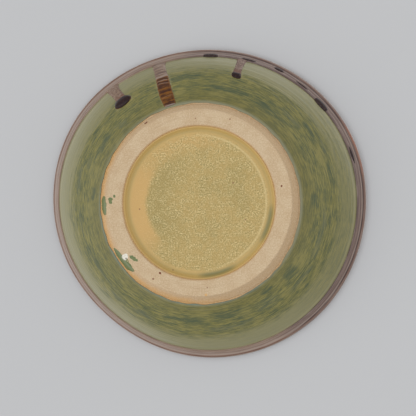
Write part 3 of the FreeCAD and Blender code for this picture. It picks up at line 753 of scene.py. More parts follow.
def well_coat(colours):
    """Crinkled yellow-green glaze with painted glints, and amber and green pooled in the corner.
    """
    m = Finish("well_coat", colours.well)
    inputs = {"Vector": m.point, "Scale": 0.95 / MM}
    cells = m.add("ShaderNodeTexVoronoi", inputs).outputs["Distance"]
    cloud = m.noise(m.point, 0.06 / MM)
    fleck = m.noise(m.point, 1.15 / MM, detail=4.0)
    fine_fleck = m.noise(m.point, 2.0 / MM)
    m.lay(m.between(cloud, 0.5, 0.7), colours.well_green, 0.3)
    greener = m.both(m.band(m.distance, 26.0, 16.0), m.sector(185.0, 30.0, 85.0))
    m.lay(greener, colours.well_green, 0.4)
    warmer = m.both(m.between(m.distance, 28.0, 38.0), m.sector(250.0, 15.0, 50.0))
    m.lay(warmer, colours.amber, 0.5)
    patchy = m.both(m.between(m.noise(m.point, 0.25 / MM, detail=3.0), 0.38, 0.62), 0.55)
    # The pale side of the flecks and the pale cells are painted glints on the crinkles, over a
    # real bump.
    for value, strength in ((fleck, m.maths("ADD", patchy, 0.3)), (fine_fleck, patchy)):
        m.colour = m.tone(m.colour, value, strength, colours.well_green, colours.well_glint)
    m.lay(m.between(cells, 0.30, 0.08), colours.well_glint, 0.3)
    reach = m.swayed(m.distance, m.noise(m.point, 0.15 / MM), 3.0)
    crescent = m.both(m.between(reach, 31.0, 34.5), m.sector(176.0, 20.0, 50.0))
    m.lay(crescent, colours.amber, 0.85)
    m.lay(m.between(reach, 40.5, 43.0), colours.pool, 0.9)
    # A painted highlight along the edge where the floor curves down into the corner.
    highlight_ring = m.both(m.band(m.distance, 40.8, 1.1), m.sector(350.0, 50.0, 100.0))
    m.lay(highlight_ring, colours.well_glint, 0.5)
    m.lay(m.band(m.distance, 43.6, 1.7), colours.well_green, 0.3)
    m.lay(m.band(m.distance, 46.2, 1.0), colours.amber, 0.5)
    for degrees in GREEN_POOLS:
        pooled = m.both(m.sector(degrees, 6.0, 18.0), m.band(m.distance, 44.0, 2.6))
        m.lay(pooled, colours.pool_green, 0.8)
    for speck in WELL_SPECKS:
        m.lay(m.spot(*speck), colours.iron, 0.7)
    # The glaze is smooth in the corner and in the amber crescent.
    smooth = m.maths("MAXIMUM", m.between(reach, 39.5, 42.0), crescent)
    crinkled = m.maths("ADD", fleck, m.both(cells, 0.8))
    relief = m.both(crinkled, m.maths("SUBTRACT", 1.0, smooth))
    return m.finish(0.32, relief, 0.6, 0.16 * MM)


LIP_ATTRIBUTE = "round_the_lip"


def brown_lip(colours):
    """Brown glaze: mauve over most of the lip, dark and lined on one side."""
    m = Finish("brown_lip")
    around = m.attribute(LIP_ATTRIBUTE)
    fine = m.strokes(m.across, rings=2.2, lobes=6.0, seed=7.0)
    broad = m.strokes(m.across, rings=0.2, lobes=3.5, seed=19.0)
    swayed = m.swayed(around, broad, 12.0)
    inner_side = (
        (40.0, colours.brown), (85.0, colours.tan), (150.0, colours.brown), (200.0, colours.brown),
    )
    # The pearl stops at -80 and -86 paint a highlight line along the lip's swell.
    calm = m.ramp(swayed, (
        (-110.0, colours.bloom), (-104.0, colours.mauve), (-99.0, colours.brown),
        (-94.0, colours.mauve), (-80.0, colours.pearl_and_highlight), (-70.0, colours.mauve),
        (-66.0, colours.mauve), (-57.0, colours.russet), (-46.0, colours.russet),
        (-36.0, colours.tan), (-18.0, colours.brown), (-6.0, colours.plum), *inner_side,
    ))
    lined = m.ramp(swayed, (
        (-110.0, colours.plum), (-104.0, colours.brown), (-98.0, colours.plum),
        (-92.0, colours.brown), (-86.0, colours.pearl_and_highlight), (-80.0, colours.plum),
        (-69.0, colours.dark), (-60.0, colours.russet), (-46.0, colours.brown),
        (-30.0, colours.brown), (-6.0, colours.plum), *inner_side,
    ))
    uneven = m.maths("ADD", m.sector(340.0, 40.0, 105.0), m.both(broad, 0.5))
    m.colour = m.mix(m.between(uneven, 0.45, 0.95), calm, lined)
    rusty = m.both(m.sector(340.0, 5.0, 12.0), m.band(around, -40.0, 34.0))
    m.lay(rusty, colours.rust, 0.8)
    m.colour = m.tone(m.colour, fine, 0.5, colours.plum, colours.pearl_and_highlight)
    return m.finish(0.35, fine, 0.4, 0.08 * MM)


RUN_ATTRIBUTE, SIDE_ATTRIBUTE = "out_along_the_run", "to_the_side"


# Distance and half width, in millimetres, of the long run's cross lines, and how
# much of each colour they take.
DARK_LINES = (
    (81.3, 1.3, 0.85),
    (78.8, 0.8, 0.9),
    (76.2, 1.9, 0.85),
    (72.1, 1.2, 0.8),
    (69.4, 0.6, 0.7),
    (64.2, 0.9, 1.0),
)
AMBER_LINES = ((82.2, 0.5, 0.8), (73.8, 0.6, 0.7), (70.7, 0.8, 0.8), (67.5, 1.2, 0.5))
# The glint lines are painted highlights across the run.
GLINT_LINES = ((80.1, 0.35, 0.75), (77.8, 0.3, 0.6), (68.6, 0.25, 0.3))


def amber_run(colours):
    """The long run: matte at the lip, then clear amber with dark cross lines."""
    m = Finish("amber_run", colours.run_dark)
    out, side = m.attribute(RUN_ATTRIBUTE), m.attribute(SIDE_ATTRIBUTE)
    thin = m.strokes(out, rings=1.6, lobes=9.0, seed=29.0)
    broad = m.strokes(out, rings=0.5, lobes=14.0, seed=13.0)
    swayed = m.swayed(out, m.strokes(out, rings=0.1, lobes=16.0, seed=3.0), 3.0)
    m.lay(m.between(broad, 0.35, 0.62), colours.run_amber)
    m.colour = m.tone(m.colour, thin, 0.6, colours.run_dark, colours.run_amber)
    for lines, colour in ((DARK_LINES, colours.run_dark), (AMBER_LINES, colours.run_amber)):
        for middle, width, strength in lines:
            uneven = m.both(m.band(swayed, middle, width), m.between(broad, 0.2, 0.5))
            m.lay(uneven, colour, strength)
    m.lay(m.between(side, 0.72, 0.95), colours.run_amber, 0.55)
    # Painted glints: thin highlight lines across the middle of the run.
    for middle, width, strength in GLINT_LINES:
        glint = m.both(m.band(swayed, middle, width), m.between(side, 0.95, 0.6))
        m.lay(glint, colours.pearl_and_highlight, strength)
    m.lay(m.between(out, 63.0, 62.5), colours.run_tip)
    matte = m.between(m.swayed(out, thin, 2.5), 82.0, 82.8)
    m.lay(matte, m.tone(colours.bloom, thin, 0.8, colours.plum, colours.pearl_and_highlight))
    roughness = m.maths("ADD", 0.12, m.both(matte, 0.35))
    return m.finish(roughness, thin, 0.3, 0.12 * MM, ior=1.4)


def dropped_run(colours, name, drop_end, stem):
    """A matte brown run that ends in a glossy dark drop with a thin russet edge."""
    m = Finish(name, stem)
    out, side = m.attribute(RUN_ATTRIBUTE), m.attribute(SIDE_ATTRIBUTE)
    fine = m.noise(m.point, 0.9 / MM)
    m.colour = m.tone(m.colour, fine, 0.6, colours.plum, colours.pearl_and_highlight)
    near = m.swayed(out, fine, 1.5)
    m.lay(m.between(near, drop_end + 3.5, drop_end + 0.3), colours.russet, 0.7)
    drop = m.between(near, drop_end, drop_end - 0.7)
    thin = m.maths("MAXIMUM", m.both(m.between(fine, 0.55, 0.8), 0.3), m.between(side, 0.9, 1.05))
    m.lay(drop, m.mix(thin, colours.dark, colours.russet))
    roughness = m.maths("SUBTRACT", 0.45, m.both(drop, 0.2))
    return m.finish(roughness, fine, 0.2, 0.05 * MM, ior=1.3)


def thick_brown(colours):
    """Thick dark brown glaze."""
    m = Finish("thick_brown", colours.dark)
    fine = m.noise(m.point, 0.8 / MM)
    m.lay(m.between(fine, 0.45, 0.75), colours.plum, 0.6)
    return m.finish(0.3, fine, 0.2, 0.05 * MM, ior=1.35)


def white_crumb(colours):
    """A matte white crumb of clay."""
    m = Finish("white_crumb", colours.crumb)
    grit = m.noise(m.point, 1.6 / MM, detail=3.0)
    m.lay(m.between(grit, 0.45, 0.75), colours.crumb_dust)
    return m.finish(0.9, grit, 0.5, 0.1 * MM, ior=1.4)


# Pieces


def plate_form(context):
    """The form and the colours that the user has set."""
    settings = context.scene.plate
    return Form(settings.sizes), settings.colours


class PLATE_OT_clay(bpy.types.Operator):
    """Throw the clay: an even floor and wall that flare out to a round lip"""

    bl_idname = "plate.clay"
    bl_label = "Thrown clay"
    bl_options = {"REGISTER", "UNDO"}

    def execute(self, context):
        form, colours = plate_form(context)
        sizes = form.sizes
        outline = [Vector((0, sizes.well_height))]
        outline += form.wall_line(sizes.floor_radius, form.wall_top, 0.0, count=40)
        outline += form.lip(0.0, 0.0, count=8)[1:-1]
        outline += form.wall_line(form.wall_top, sizes.floor_radius, form.under, count=40)
        outline += [Vector((0, sizes.well_height + sizes.wall))]
        bm = turned(outline, sizes.steps // 2, closed=False)
        finish_piece(context, "thrown_clay", bm, form, bare_clay(colours), "clay_body")
        return {"FINISHED"}


CORNER_STEPS = 8

# Tool marks are cut only where the foot stands clear of the wall's clay.
TOOL_MARK = 0.05 * MM
CLEAR_OF_WALL = 0.2 * MM


class PLATE_OT_foot(bpy.types.Operator):
    """Turn the bare foot: a flat ring with rounded edges and fine tool marks"""

    bl_idname = "plate.foot"
    bl_label = "Foot"
    bl_options = {"REGISTER", "UNDO"}

    def outline(self, form):
        """Its seat on the clay, its sides and its rounded resting face."""
        sizes = form.sizes
        seat_in = form.wall(sizes.foot_seat)
        seat_out = form.wall(sizes.foot_root)
        face_in = Vector((sizes.foot_inner, 0.0))
        face_out = Vector((sizes.foot_outer, 0.0))

        def corner(before, at, after):
            """The points that round a corner of the outline."""
            radius = sizes.foot_edge
            back, forth = (before - at).normalized(), (after - at).normalized()
            half = back.angle(forth) / 2
            middle = at + (back + forth).normalized() * radius / math.sin(half)
            reach = radius / math.tan(half)
            first, last = at + back * reach - middle, at + forth * reach - middle
            spokes = [first.lerp(last, n / CORNER_STEPS) for n in range(CORNER_STEPS + 1)]
            return [middle + spoke.normalized() * radius for spoke in spokes]

        def straight(start, end, count):
            """The points along a straight side, without its end."""
            return [start.lerp(end, n / count) for n in range(count)]

        inner_corner = corner(seat_in, face_in, face_out)
        outer_corner = corner(face_in, face_out, seat_out)
        outline = straight(seat_in, inner_corner[0], count=8) + inner_corner
        outline += straight(inner_corner[-1], outer_corner[0], count=24)[1:] + outer_corner
        outline += straight(outer_corner[-1], seat_out, count=18)[1:]
        outline += form.wall_line(sizes.foot_root, sizes.foot_seat, 0.0, count=12)[:-1]
        return outline

    def execute(self, context):
        form, colours = plate_form(context)
        sizes = form.sizes
        bm = turned(self.outline(form), sizes.steps, closed=True)
        for vert in bm.verts:
            x, y, z = vert.co
            distance = math.hypot(x, y)
            if form.depth_of(distance, z) > CLEAR_OF_WALL:
                mark = wheel_noise(x, y, (distance + z) / MM, rings=1.3, lobes=1.2)
                vert.co.z += TOOL_MARK * abs(mark)
            form.shift_root(vert, fade(distance, sizes.foot_outer, sizes.foot_root))
        finish_piece(context, "turned_foot", bm, form, bare_clay(colours), "foot_ring")
        return {"FINISHED"}


# A vertex this far through a coat, as a share of its thickness, is on its surface.
ON_SURFACE = 0.9

# The throwing rings fade in over some of the wall, and the glaze line's shift and
# sway fade out.
THROWING_RING = 0.10 * MM
RING_FADE = 3 * MM
SHIFT_FADE = 6 * MM
GLAZE_LINE_SWAY = 0.6 * MM
SWAY_FADE = 2.5 * MM


class PLATE_OT_outside(bpy.types.Operator):
    """Brush green glaze on the outside, over the throwing rings"""

    bl_idname = "plate.outside"
    bl_label = "Green outside"
    bl_options = {"REGISTER", "UNDO"}

    def execute(self, context):
        form, colours = plate_form(context)
        sizes = form.sizes
        start, root = form.glaze_start, sizes.foot_root
        outline = form.wall_line(start, form.wall_top, sizes.glaze, count=110)
        # The coat's edge at the foot is round.
        middle = form.wall(start, sizes.glaze / 2)
        angle = math.atan2(*(outline[0] - middle).yx)
        outline = arc(middle, sizes.glaze / 2, angle - math.pi, angle, count=6)[:-1] + outline
        outline += form.wall_line(form.wall_top, start + 1 * MM, 0.0, count=12)
        bm = turned(outline, sizes.steps, closed=True)
        for vert in bm.verts:
            x, y, z = vert.co
            distance = math.hypot(x, y)
            if form.depth_of(distance, z) > sizes.glaze * ON_SURFACE:
                arch = (distance + z) / MM
                ring = wheel_noise(x, y, arch, rings=0.55, lobes=0.8)
                ring += 0.5 * wheel_noise(x, y, arch, rings=1.4, lobes=2.0, seed=5.0)
                away = Vector((distance - form.centre.x, z - form.centre.y)).normalized()
                step = THROWING_RING * ring * fade(distance, root, root + RING_FADE)
                vert.co += Vector((x / distance * away.x, y / distance * away.x, away.y)) * step
            form.shift_root(vert, fade(distance, start + SHIFT_FADE, start))
            near = max(0.0, 1 - (distance - start) / SWAY_FADE)
            sway = wheel_noise(x, y, 0.0, rings=1.0, lobes=9.0, seed=3.0)
            push_out(vert, GLAZE_LINE_SWAY * near * sway)
        material = outside_green(colours)
        finish_piece(context, "green_outside", bm, form, material, "outside_glaze")
        return {"FINISHED"}


# The throwing rings on the plate's face, which fade in round its middle.
FLOOR_RING = 0.16 * MM
FLOOR_RING_FADE = 4 * MM


class PLATE_OT_inside(bpy.types.Operator):
    """Brush green glaze on the inside, over the floor and up to the lip"""

    bl_idname = "plate.inside"
    bl_label = "Green inside"
    bl_options = {"REGISTER", "UNDO"}

    def execute(self, context):
        form, colours = plate_form(context)
        sizes = form.sizes
        bottom = sizes.well_height + sizes.wall
        floor = bottom + sizes.glaze
        outline = [Vector((sizes.floor_radius * n / 60, floor)) for n in range(60)]
        outline += form.wall_line(
            sizes.floor_radius, form.wall_top, form.under - sizes.glaze, count=90
        )
        outline += form.wall_line(form.wall_top, sizes.floor_radius, form.under, count=16)
        outline += [Vector((0, bottom))]
        bm = turned(outline, sizes.steps, closed=False)
        skin = sizes.glaze * ON_SURFACE
        for vert in bm.verts:
            x, y, z = vert.co
            distance = math.hypot(x, y)
            if distance > sizes.floor_radius:
                on_surface = form.depth_of(distance, z) < form.under - skin
            else:
                on_surface = z > bottom + skin
            if on_surface:
                ring = wheel_noise(x, y, (distance + z) / MM, rings=0.4, lobes=0.7, seed=9.0)
                vert.co.z += FLOOR_RING * ring * fade(distance, 0.0, FLOOR_RING_FADE)
        material = inside_green(colours)
        finish_piece(context, "green_inside", bm, form, material, "inside_glaze")
        return {"FINISHED"}


# The rolled edge starts inside the green coat, at a share of its thickness, and
# rises over a width.
LIP_START = 0.6
LIP_SLOPE = 0.5 * MM

# The glaze is rippled where it lies off the bead by most of its thickness.
LIP_SKIN = 0.8
LIP_RIPPLE = 0.12 * MM


class PLATE_OT_lip(bpy.types.Operator):
    """Dip the lip in brown glaze, which ends outside in a rolled edge"""

    bl_idname = "plate.lip"
    bl_label = "Brown lip"
    bl_options = {"REGISTER", "UNDO"}

    def execute(self, context):
        form, colours = plate_form(context)
        sizes = form.sizes
        roll = sizes.glaze + sizes.lip_roll
        low = sizes.glaze * LIP_START
        skin = sizes.lip_radius + sizes.glaze * LIP_SKIN
        # The rolled edge is a quarter round that rises out of the green coat.
        edge = [
            form.wall(form.wall_top - LIP_SLOPE * math.cos(a), low + (roll - low) * math.sin(a))
            for a in (math.pi / 2 * n / 8 for n in range(8))
        ]
        outer, inner = form.lip(sizes.glaze, roll, count=26), form.lip(0.0, 0.0, count=12)
        outline = edge + outer + inner[::-1]
        bm = turned(outline, sizes.steps, closed=True)
        layer = bm.verts.layers.float.new(LIP_ATTRIBUTE)
        for vert in bm.verts:
            x, y, z = vert.co
            distance = math.hypot(x, y)
            # Degrees round the lip's bead: 0 is outwards and 90 is up.
            angle = math.degrees(math.atan2(z - form.bead.y, distance - form.bead.x))
            angle += 360 if angle < -150 else 0
            vert[layer] = angle
            if (Vector((distance, z)) - form.bead).length > skin:
                ripple = wheel_noise(x, y, angle / 9, rings=1.0, lobes=1.1, seed=4.0)
                push_out(vert, LIP_RIPPLE * ripple)
        finish_piece(context, "brown_lip", bm, form, brown_lip(colours), "rim_glaze")
        return {"FINISHED"}


# The crinkles fade out towards the corner. The swirl that the turning tool left
# fades out from the middle, and has a pitch for each radian that it turns.
CRINKLE = 0.10 * MM
CRINKLE_FADE = 4 * MM
SWIRL = 0.16 * MM
SWIRL_PITCH = 1.35 * MM
SWIRL_REACH = 9 * MM
SWIRL_START = 1.5 * MM


class PLATE_OT_well(bpy.types.Operator):
    """Coat the well inside the foot with crinkled glaze, pooled in its corner"""

    bl_idname = "plate.well"
    bl_label = "Well"
    bl_options = {"REGISTER", "UNDO"}

    def outline(self, form):
        """Its floor, the pool in the corner, and its edge on the foot's side."""
        sizes = form.sizes
        seat = form.wall(sizes.foot_seat)
        slant = (sizes.foot_inner - sizes.foot_seat) / seat.y
        line = Vector((sizes.foot_inner - sizes.well_line * slant, sizes.well_line))
        stretch = math.sqrt(1 + slant**2)
        end = line - Vector((sizes.glaze, sizes.glaze * slant)) / stretch
        floor = sizes.well_height - sizes.glaze
        pool = Vector((0.0, floor - sizes.well_pool))
        pool.x = end.x - (pool.y - end.y) * slant - sizes.well_pool * stretch
        outline = [Vector((pool.x * n / 84, floor)) for n in range(84)]
        outline += arc(pool, sizes.well_pool, math.pi / 2, math.atan(slant), count=14)
        outline += [end, line, seat]
        outline += form.wall_line(sizes.foot_seat, sizes.floor_radius, 0.0, count=6)[1:]
        outline += [Vector((0.0, sizes.well_height))]
        return outline, floor

    def execute(self, context):
        form, colours = plate_form(context)
        sizes = form.sizes
        outline, floor = self.outline(form)
        bm = turned(outline, sizes.steps * 3 // 2, closed=False)
        smooth = sizes.foot_seat - CRINKLE_FADE
        for vert in bm.verts:
            x, y, z = vert.co
            distance = math.hypot(x, y)
            if z < floor + 0.1 * MM and distance < sizes.foot_seat:
                place = Vector((x, y, 0.0)) / MM
                crinkle = noise.noise(place * 1.1) + 0.5 * noise.noise(place * 1.9)
                crinkle *= fade(distance, smooth, smooth - CRINKLE_FADE)
                swirl = math.sin(distance / SWIRL_PITCH - math.atan2(y, x))
                swirl *= math.exp(-distance / SWIRL_REACH) * fade(distance, 0.0, SWIRL_START)
                vert.co.z += CRINKLE * crinkle + SWIRL * swirl
        finish_piece(context, "well_coat", bm, form, well_coat(colours), "well_glaze")
        return {"FINISHED"}


# Each run from its tip out to the lip, in millimetres and degrees: its distance
# from the axis, its direction, its width and how far it stands out.
RUNS = {
    "long_run": (
        (62.0, 252.75, 0.0, 0.10),
        (62.15, 252.75, 5.4, 0.40),
        (62.9, 252.7, 7.3, 0.75),
        (65.0, 252.5, 8.0, 0.70),
        (70.0, 252.05, 8.7, 0.70),
        (76.0, 251.85, 8.6, 0.70),
        (82.0, 251.75, 8.3, 0.75),
        (88.0, 251.4, 7.9, 0.70),
        (91.5, 251.3, 8.1, 0.75),
        (93.5, 251.3, 9.5, 0.80),
        (95.3, 251.3, 12.5, 0.90),
    ),
    "bulb_run": (
        (77.4, 231.5, 0.0, 0.20),
        (77.6, 231.5, 4.6, 0.80),
        (78.4, 231.5, 9.2, 1.45),
        (80.2, 231.45, 12.3, 1.80),
        (82.2, 231.4, 9.8, 1.40),
        (83.3, 231.35, 7.2, 0.85),
        (84.6, 231.3, 6.7, 0.70),
        (89.3, 230.9, 7.1, 0.70),
        (92.8, 230.7, 8.3, 0.80),
        (95.3, 230.6, 11.5, 0.90),
    ),
    "short_run": (
        (80.0, 285.3, 0.0, 0.20),
        (80.2, 285.25, 3.2, 0.70),
        (81.0, 285.1, 5.6, 1.10),
        (82.5, 284.8, 6.2, 1.20),
        (84.0, 284.7, 5.4, 0.90),
        (86.0, 284.6, 4.9, 0.70),
        (90.5, 284.5, 5.1, 0.70),
        (93.0, 284.5, 6.0, 0.80),
        (95.3, 284.4, 8.5, 0.90),
    ),
}
RUN_COLUMNS = 20
RUN_ROWS = 90
RUN_SINK = 0.45 * MM
RUN_WOBBLE = 0.05

# The power that crowds a run's rows towards its tip.
RUN_CROWDING = 1.7


def along_run(rows, out):
    """A run's direction, width and height at a distance, smoothly between its rows."""
    n = max(i for i in range(len(rows) - 1) if rows[i][0] <= out)
    span = rows[n + 1][0] - rows[n][0]
    t = (out - rows[n][0]) / span

    def slope(index, column):
        low, high = rows[max(index - 1, 0)], rows[min(index + 1, len(rows) - 1)]
        return (high[column] - low[column]) / (high[0] - low[0]) * span

    def smooth(column):
        """The cubic curve with the rows' own values and slopes at its ends."""
        start, rise = rows[n][column], rows[n + 1][column] - rows[n][column]
        first, last = slope(n, column), slope(n + 1, column)
        bend = 3 * rise - 2 * first - last
        return start + t * (first + t * (bend + t * (first + last - 2 * rise)))

    return smooth(1), smooth(2), smooth(3)


def run_strip(form, rows):
    """A closed strip that lies on the green coat, from its tip up into the lip."""
    bm = bmesh.new()
    bmesh.ops.create_grid(bm, x_segments=RUN_COLUMNS, y_segments=RUN_ROWS, size=1.0)
    grown = bmesh.ops.extrude_face_region(bm, geom=bm.faces[:])["geom"]
    for vert in grown:
        if isinstance(vert, bmesh.types.BMVert):
            vert.co.z = 1.0
    out_layer = bm.verts.layers.float.new(RUN_ATTRIBUTE)
    side_layer = bm.verts.layers.float.new(SIDE_ATTRIBUTE)
    tip, far = rows[0][0], rows[-1][0]
    for vert in bm.verts:
        across, along, up = vert.co.x, (vert.co.y + 1) / 2, vert.co.z
        out = min(far, tip + (far - tip) * along**RUN_CROWDING)
        degrees, width, height = along_run(rows, out)
        wobble = 1 + RUN_WOBBLE * noise.noise(Vector((out * 0.5, across, tip)))
        side = across * max(0.0, width) / 2 * wobble
        stand = height * math.sqrt(1 - abs(across) ** 3)
        depth = form.sizes.glaze + (stand * MM if up else -RUN_SINK)
        vert.co = form.on_wall(math.radians(degrees) + side / out, out * MM, depth)
        vert[out_layer] = out
        vert[side_layer] = abs(across)
    bmesh.ops.remove_doubles(bm, verts=bm.verts, dist=2 * MERGE_DISTANCE)
    return bm


class PLATE_OT_runs(bpy.types.Operator):
    """Let brown glaze run down the outside wall in three places"""

    bl_idname = "plate.runs"
    bl_label = "Runs"
    bl_options = {"REGISTER", "UNDO"}

    def execute(self, context):
        form, colours = plate_form(context)
        bulb, short = "bulb_run_glaze", "short_run_glaze"
        materials = {
            "long_run": amber_run(colours),
            "bulb_run": dropped_run(colours, bulb, drop_end=82.9, stem=colours.bloom),
            "short_run": dropped_run(colours, short, drop_end=83.8, stem=colours.brown),
        }
        for node, rows in RUNS.items():
            bm = run_strip(form, rows)
            finish_piece(context, node + "_glaze", bm, form, materials[node], node)
        return {"FINISHED"}


def add_lens(bm, place, length_round, width, height):
    """Add a smooth lump to a surface: place(along, across, lift) is a point on it."""
    ball = bmesh.ops.create_uvsphere(bm, u_segments=32, v_segments=16, radius=1.0)["verts"]
    for vert in ball:
        x, y, z = vert.co
        vert.co = place(x * length_round / 2, y * width / 2, z * height)


# Direction, length round the lip, width, height and distance from the wall's top
# of the thick lenses of glaze.
BEADS = (
    (272.0, 12.0, 2.4, 1.5, 0.2),
    (287.0, 14.0, 1.4, 1.4, 0.3),
    (299.0, 10.0, 2.2, 1.7, 1.3),
    (309.5, 14.0, 1.2, 1.35, 0.6),
    (319.8, 13.0, 2.8, 1.6, 0.3),
    (342.0, 15.0, 1.4, 1.4, 0.3),
)


class PLATE_OT_beads(bpy.types.Operator):
    """Hang thick lenses of brown glaze along the lip's rolled edge"""

    bl_idname = "plate.beads"
    bl_label = "Beads"
    bl_options = {"REGISTER", "UNDO"}

    def execute(self, context):
        form, colours = plate_form(context)
        bm = bmesh.new()
        for degrees, length_round, width, height, away in BEADS:
            turn = math.radians(degrees)
            middle = form.wall_top + away * MM

            def place(along, across, lift):
                spot = middle + across
                return form.on_wall(turn + along / middle, spot, form.sizes.glaze + lift)

            add_lens(bm, place, length_round * MM, width * MM, height * MM)
        material = thick_brown(colours)
        finish_piece(context, "lip_beads", bm, form, material, "rim_beads")
        return {"FINISHED"}


# Each splash from one end to the other, in degrees and millimetres: the
# direction and distance of both ends, and its width in the middle.
SPLASHES = (
    (184.0, 59.4, 172.4, 58.8, 4.4),
    (152.5, 60.0, 133.5, 57.8, 4.8),
    (142.6, 53.2, 136.2, 51.6, 2.4),
    (183.4, 54.2, 179.2, 53.8, 3.0),
    (185.4, 51.9, 183.3, 51.8, 1.6),
)
SPLASH_HEIGHT = 0.4 * MM
SPLASH_RAGGED = 0.7


class PLATE_OT_splashes(bpy.types.Operator):
    """Splash green glaze on the bare foot"""

    bl_idname = "plate.splashes"
    bl_label = "Splashes"
    bl_options = {"REGISTER", "UNDO"}

    def execute(self, context):
        form, colours = plate_form(context)
        bm = bmesh.new()
        for first_turn, first_out, last_turn, last_out, width in SPLASHES:

            def place(along, across, lift):
                turn = first_turn + (last_turn - first_turn) * (along + 1) / 2
                out = first_out + (last_out - first_out) * (along + 1) / 2
                edge = noise.noise(Vector((along * 3, across * 0.6, first_turn)))
                out += across * (1 + SPLASH_RAGGED * edge)
                return form.on_foot(math.radians(turn), out * MM, lift)

            add_lens(bm, place, 2.0, width, SPLASH_HEIGHT)
        for vert in bm.verts:
            vert.co.z = max(vert.co.z, 0.0)
        name, material = "foot_splash_glaze", splash_green(colours)
        finish_piece(context, name, bm, form, material, "foot_splashes")
        return {"FINISHED"}


# The crumb's place on the foot, its radius, how high its middle is and how flat
# it is.
CRUMB_TURN, CRUMB_DISTANCE = math.radians(143.8), 55.6 * MM
CRUMB_RADIUS = 2.1 * MM
CRUMB_LIFT = 0.6 * MM
CRUMB_FLATNESS = 0.6


class PLATE_OT_crumb(bpy.types.Operator):
    """Stick a rough white crumb of clay to the foot's outer edge"""

    bl_idname = "plate.crumb"
    bl_label = "Crumb"
    bl_options = {"REGISTER", "UNDO"}

    def execute(self, context):
        form, colours = plate_form(context)
        bm = bmesh.new()
        lump = bmesh.ops.create_icosphere(bm, subdivisions=4, radius=CRUMB_RADIUS)["verts"]
        centre = form.on_foot(CRUMB_TURN, CRUMB_DISTANCE, 0.0) + Vector((0, 0, CRUMB_LIFT))
        for vert in lump:
            spoke = vert.co.normalized()
            vert.co *= 1 + 0.16 * noise.noise(spoke * 1.7) + 0.05 * noise.noise(spoke * 6)
            vert.co.z *= CRUMB_FLATNESS
            vert.co += centre
            vert.co.z = max(vert.co.z, 0.0)
        finish_piece(context, "crumb", bm, form, white_crumb(colours), "clay_crumb")
        return {"FINISHED"}


# The stage


CAMERA_PLACE = Vector((86.0, 2.3, -656.0)) * MM
CAMERA_TARGET = Vector((0.5, 3.3, 44.0)) * MM
SENSOR = 36.0
SOFTNESS = math.radians(90)

# The table lies just below the foot. The backdrop, which the camera sees from
# below, lies just above the rim. Each has half a side and a gap.
TABLE_SIZE, TABLE_GAP = 4.0, 0.02 * MM
BACKDROP_SIZE, BACKDROP_GAP = 1.5, 0.1 * MM


def stage_material(name, colour):
    """A plain sheet that is seen from its front only."""
    material = bpy.data.materials.new(name)
    material.use_nodes = True
    material.node_tree.nodes.clear()
    graph = Graph(material.node_tree)
    diffuse = graph.add("ShaderNodeBsdfDiffuse", {"Color": colour})
    clear = graph.add("ShaderNodeBsdfTransparent")
    back = graph.add("ShaderNodeNewGeometry").outputs["Backfacing"]
    both = graph.add("ShaderNodeMixShader", {0: back, 1: diffuse.outputs[0], 2: clear.outputs[0]})
    graph.add("ShaderNodeOutputMaterial", {"Surface": both.outputs[0]})
    return material


def make_sheet(context, name, height, up, size, material):
    """A plain square sheet that only the camera sees, and that catches shadows."""
    bm = bmesh.new()
    bmesh.ops.create_grid(bm, x_segments=1, y_segments=1, size=size)
    if not up:
        bmesh.ops.reverse_faces(bm, faces=bm.faces)
    bmesh.ops.translate(bm, verts=bm.verts, vec=(0, 0, height))
    mesh = bpy.data.meshes.new(name)
    bm.to_mesh(mesh)
    bm.free()
    mesh.materials.append(material)
    sheet = bpy.data.objects.new(name, mesh)
    context.scene.collection.objects.link(sheet)
    sheet.visible_shadow = sheet.visible_diffuse = False
    sheet.visible_glossy = sheet.visible_transmission = False


def make_lamp(context, name, place, light):
    """A wide soft lamp that gives a level surface so much of its light."""
    lamp = bpy.data.lights.new(name, "SUN")
    lamp.energy = light * math.pi * place.length / abs(place.z)
    lamp.angle = SOFTNESS
    holder = bpy.data.objects.new(name, lamp)
    turn = place.to_track_quat("Z", "Y").to_matrix().to_4x4()
    holder.matrix_world = Matrix.Translation(place) @ turn
    context.scene.collection.objects.link(holder)


def make_world(context, stage):
    """Even light from all round, seen by the camera as the table's own colour."""
    world = bpy.data.worlds.new("plain_light")
    world.use_nodes = True
    graph = Graph(world.node_tree)
    seen = graph.add("ShaderNodeLightPath").outputs["Is Camera Ray"]
    colour = graph.mix(seen, (*(stage.world_light,) * 3, 1.0), stage.floor)
    graph.put(colour, world.node_tree.nodes["Background"].inputs["Color"])
    context.scene.world = world


def make_camera(context, stage):
    """The camera, below the plate, with +Y down and +X to the right."""
    camera = bpy.data.cameras.new("camera")
    camera.lens = stage.lens
    camera.sensor_width = SENSOR
    forward = (CAMERA_TARGET - CAMERA_PLACE).normalized()
    down = Vector((0, 1, 0))
    down = (down - forward * down.dot(forward)).normalized()
    right = down.cross(forward)
    turn = Matrix((right, -down, -forward)).transposed().to_4x4()
    holder = bpy.data.objects.new("camera", camera)
    holder.matrix_world = Matrix.Translation(CAMERA_PLACE) @ turn
    context.scene.collection.objects.link(holder)
    context.scene.camera = holder


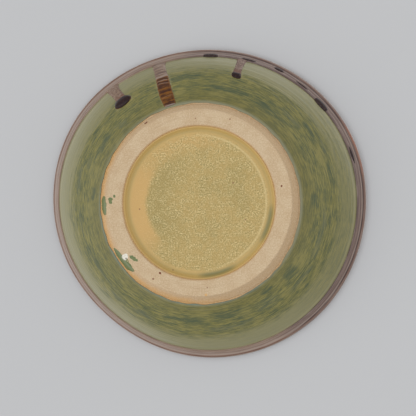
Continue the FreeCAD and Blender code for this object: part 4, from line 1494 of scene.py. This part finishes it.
class PLATE_OT_stage(bpy.types.Operator):
    """Make the table, the lamps and the camera"""

    bl_idname = "plate.stage"
    bl_label = "Stage"

    def execute(self, context):
        stage, sizes = context.scene.plate.stage, context.scene.plate.sizes
        context.scene.view_settings.view_transform = "Standard"
        pale = stage_material("pale_table", stage.floor)
        make_sheet(context, "floor", -TABLE_GAP, True, TABLE_SIZE, pale)
        above = sizes.height + BACKDROP_GAP
        make_sheet(context, "backdrop", above, False, BACKDROP_SIZE, pale)
        for name, place, light in (
            ("low_key", (-0.50, 0.12, -0.85), stage.key_light),
            ("low_fill", (0.55, -0.10, -0.80), stage.fill_light),
            ("high_key", (0.45, -0.50, 0.80), stage.key_light),
            ("high_fill", (-0.80, 0.20, 0.60), stage.fill_light),
        ):
            make_lamp(context, name, Vector(place), light)
        make_world(context, stage)
        make_camera(context, stage)
        return {"FINISHED"}


PIECES = (
    PLATE_OT_clay, PLATE_OT_foot, PLATE_OT_outside, PLATE_OT_inside, PLATE_OT_lip, PLATE_OT_well,
    PLATE_OT_runs, PLATE_OT_beads, PLATE_OT_splashes, PLATE_OT_crumb,
)


class PLATE_PT_panel(bpy.types.Panel):
    """Lists the plate's pieces"""

    bl_idname = "PLATE_PT_panel"
    bl_label = "Plate"
    bl_space_type = "VIEW_3D"
    bl_region_type = "UI"
    bl_category = "Plate"

    def draw(self, context):
        for operator in (*PIECES, PLATE_OT_stage):
            self.layout.operator(operator.bl_idname)


CLASSES = (
    PlateSizes, PlateColours, PlateStage, PlateSettings, *PIECES, PLATE_OT_stage, PLATE_PT_panel,
)


def register():
    for cls in CLASSES:
        bpy.utils.register_class(cls)
    bpy.types.Scene.plate = PointerProperty(type=PlateSettings)


def unregister():
    del bpy.types.Scene.plate
    for cls in reversed(CLASSES):
        bpy.utils.unregister_class(cls)


def main():
    register()
    bpy.ops.plate.clay()
    bpy.ops.plate.foot()
    bpy.ops.plate.outside()
    bpy.ops.plate.inside()
    bpy.ops.plate.lip()
    bpy.ops.plate.well()
    bpy.ops.plate.runs()
    bpy.ops.plate.beads()
    bpy.ops.plate.splashes()
    bpy.ops.plate.crumb()
    bpy.ops.plate.stage()


if __name__ == "__main__":
    main()
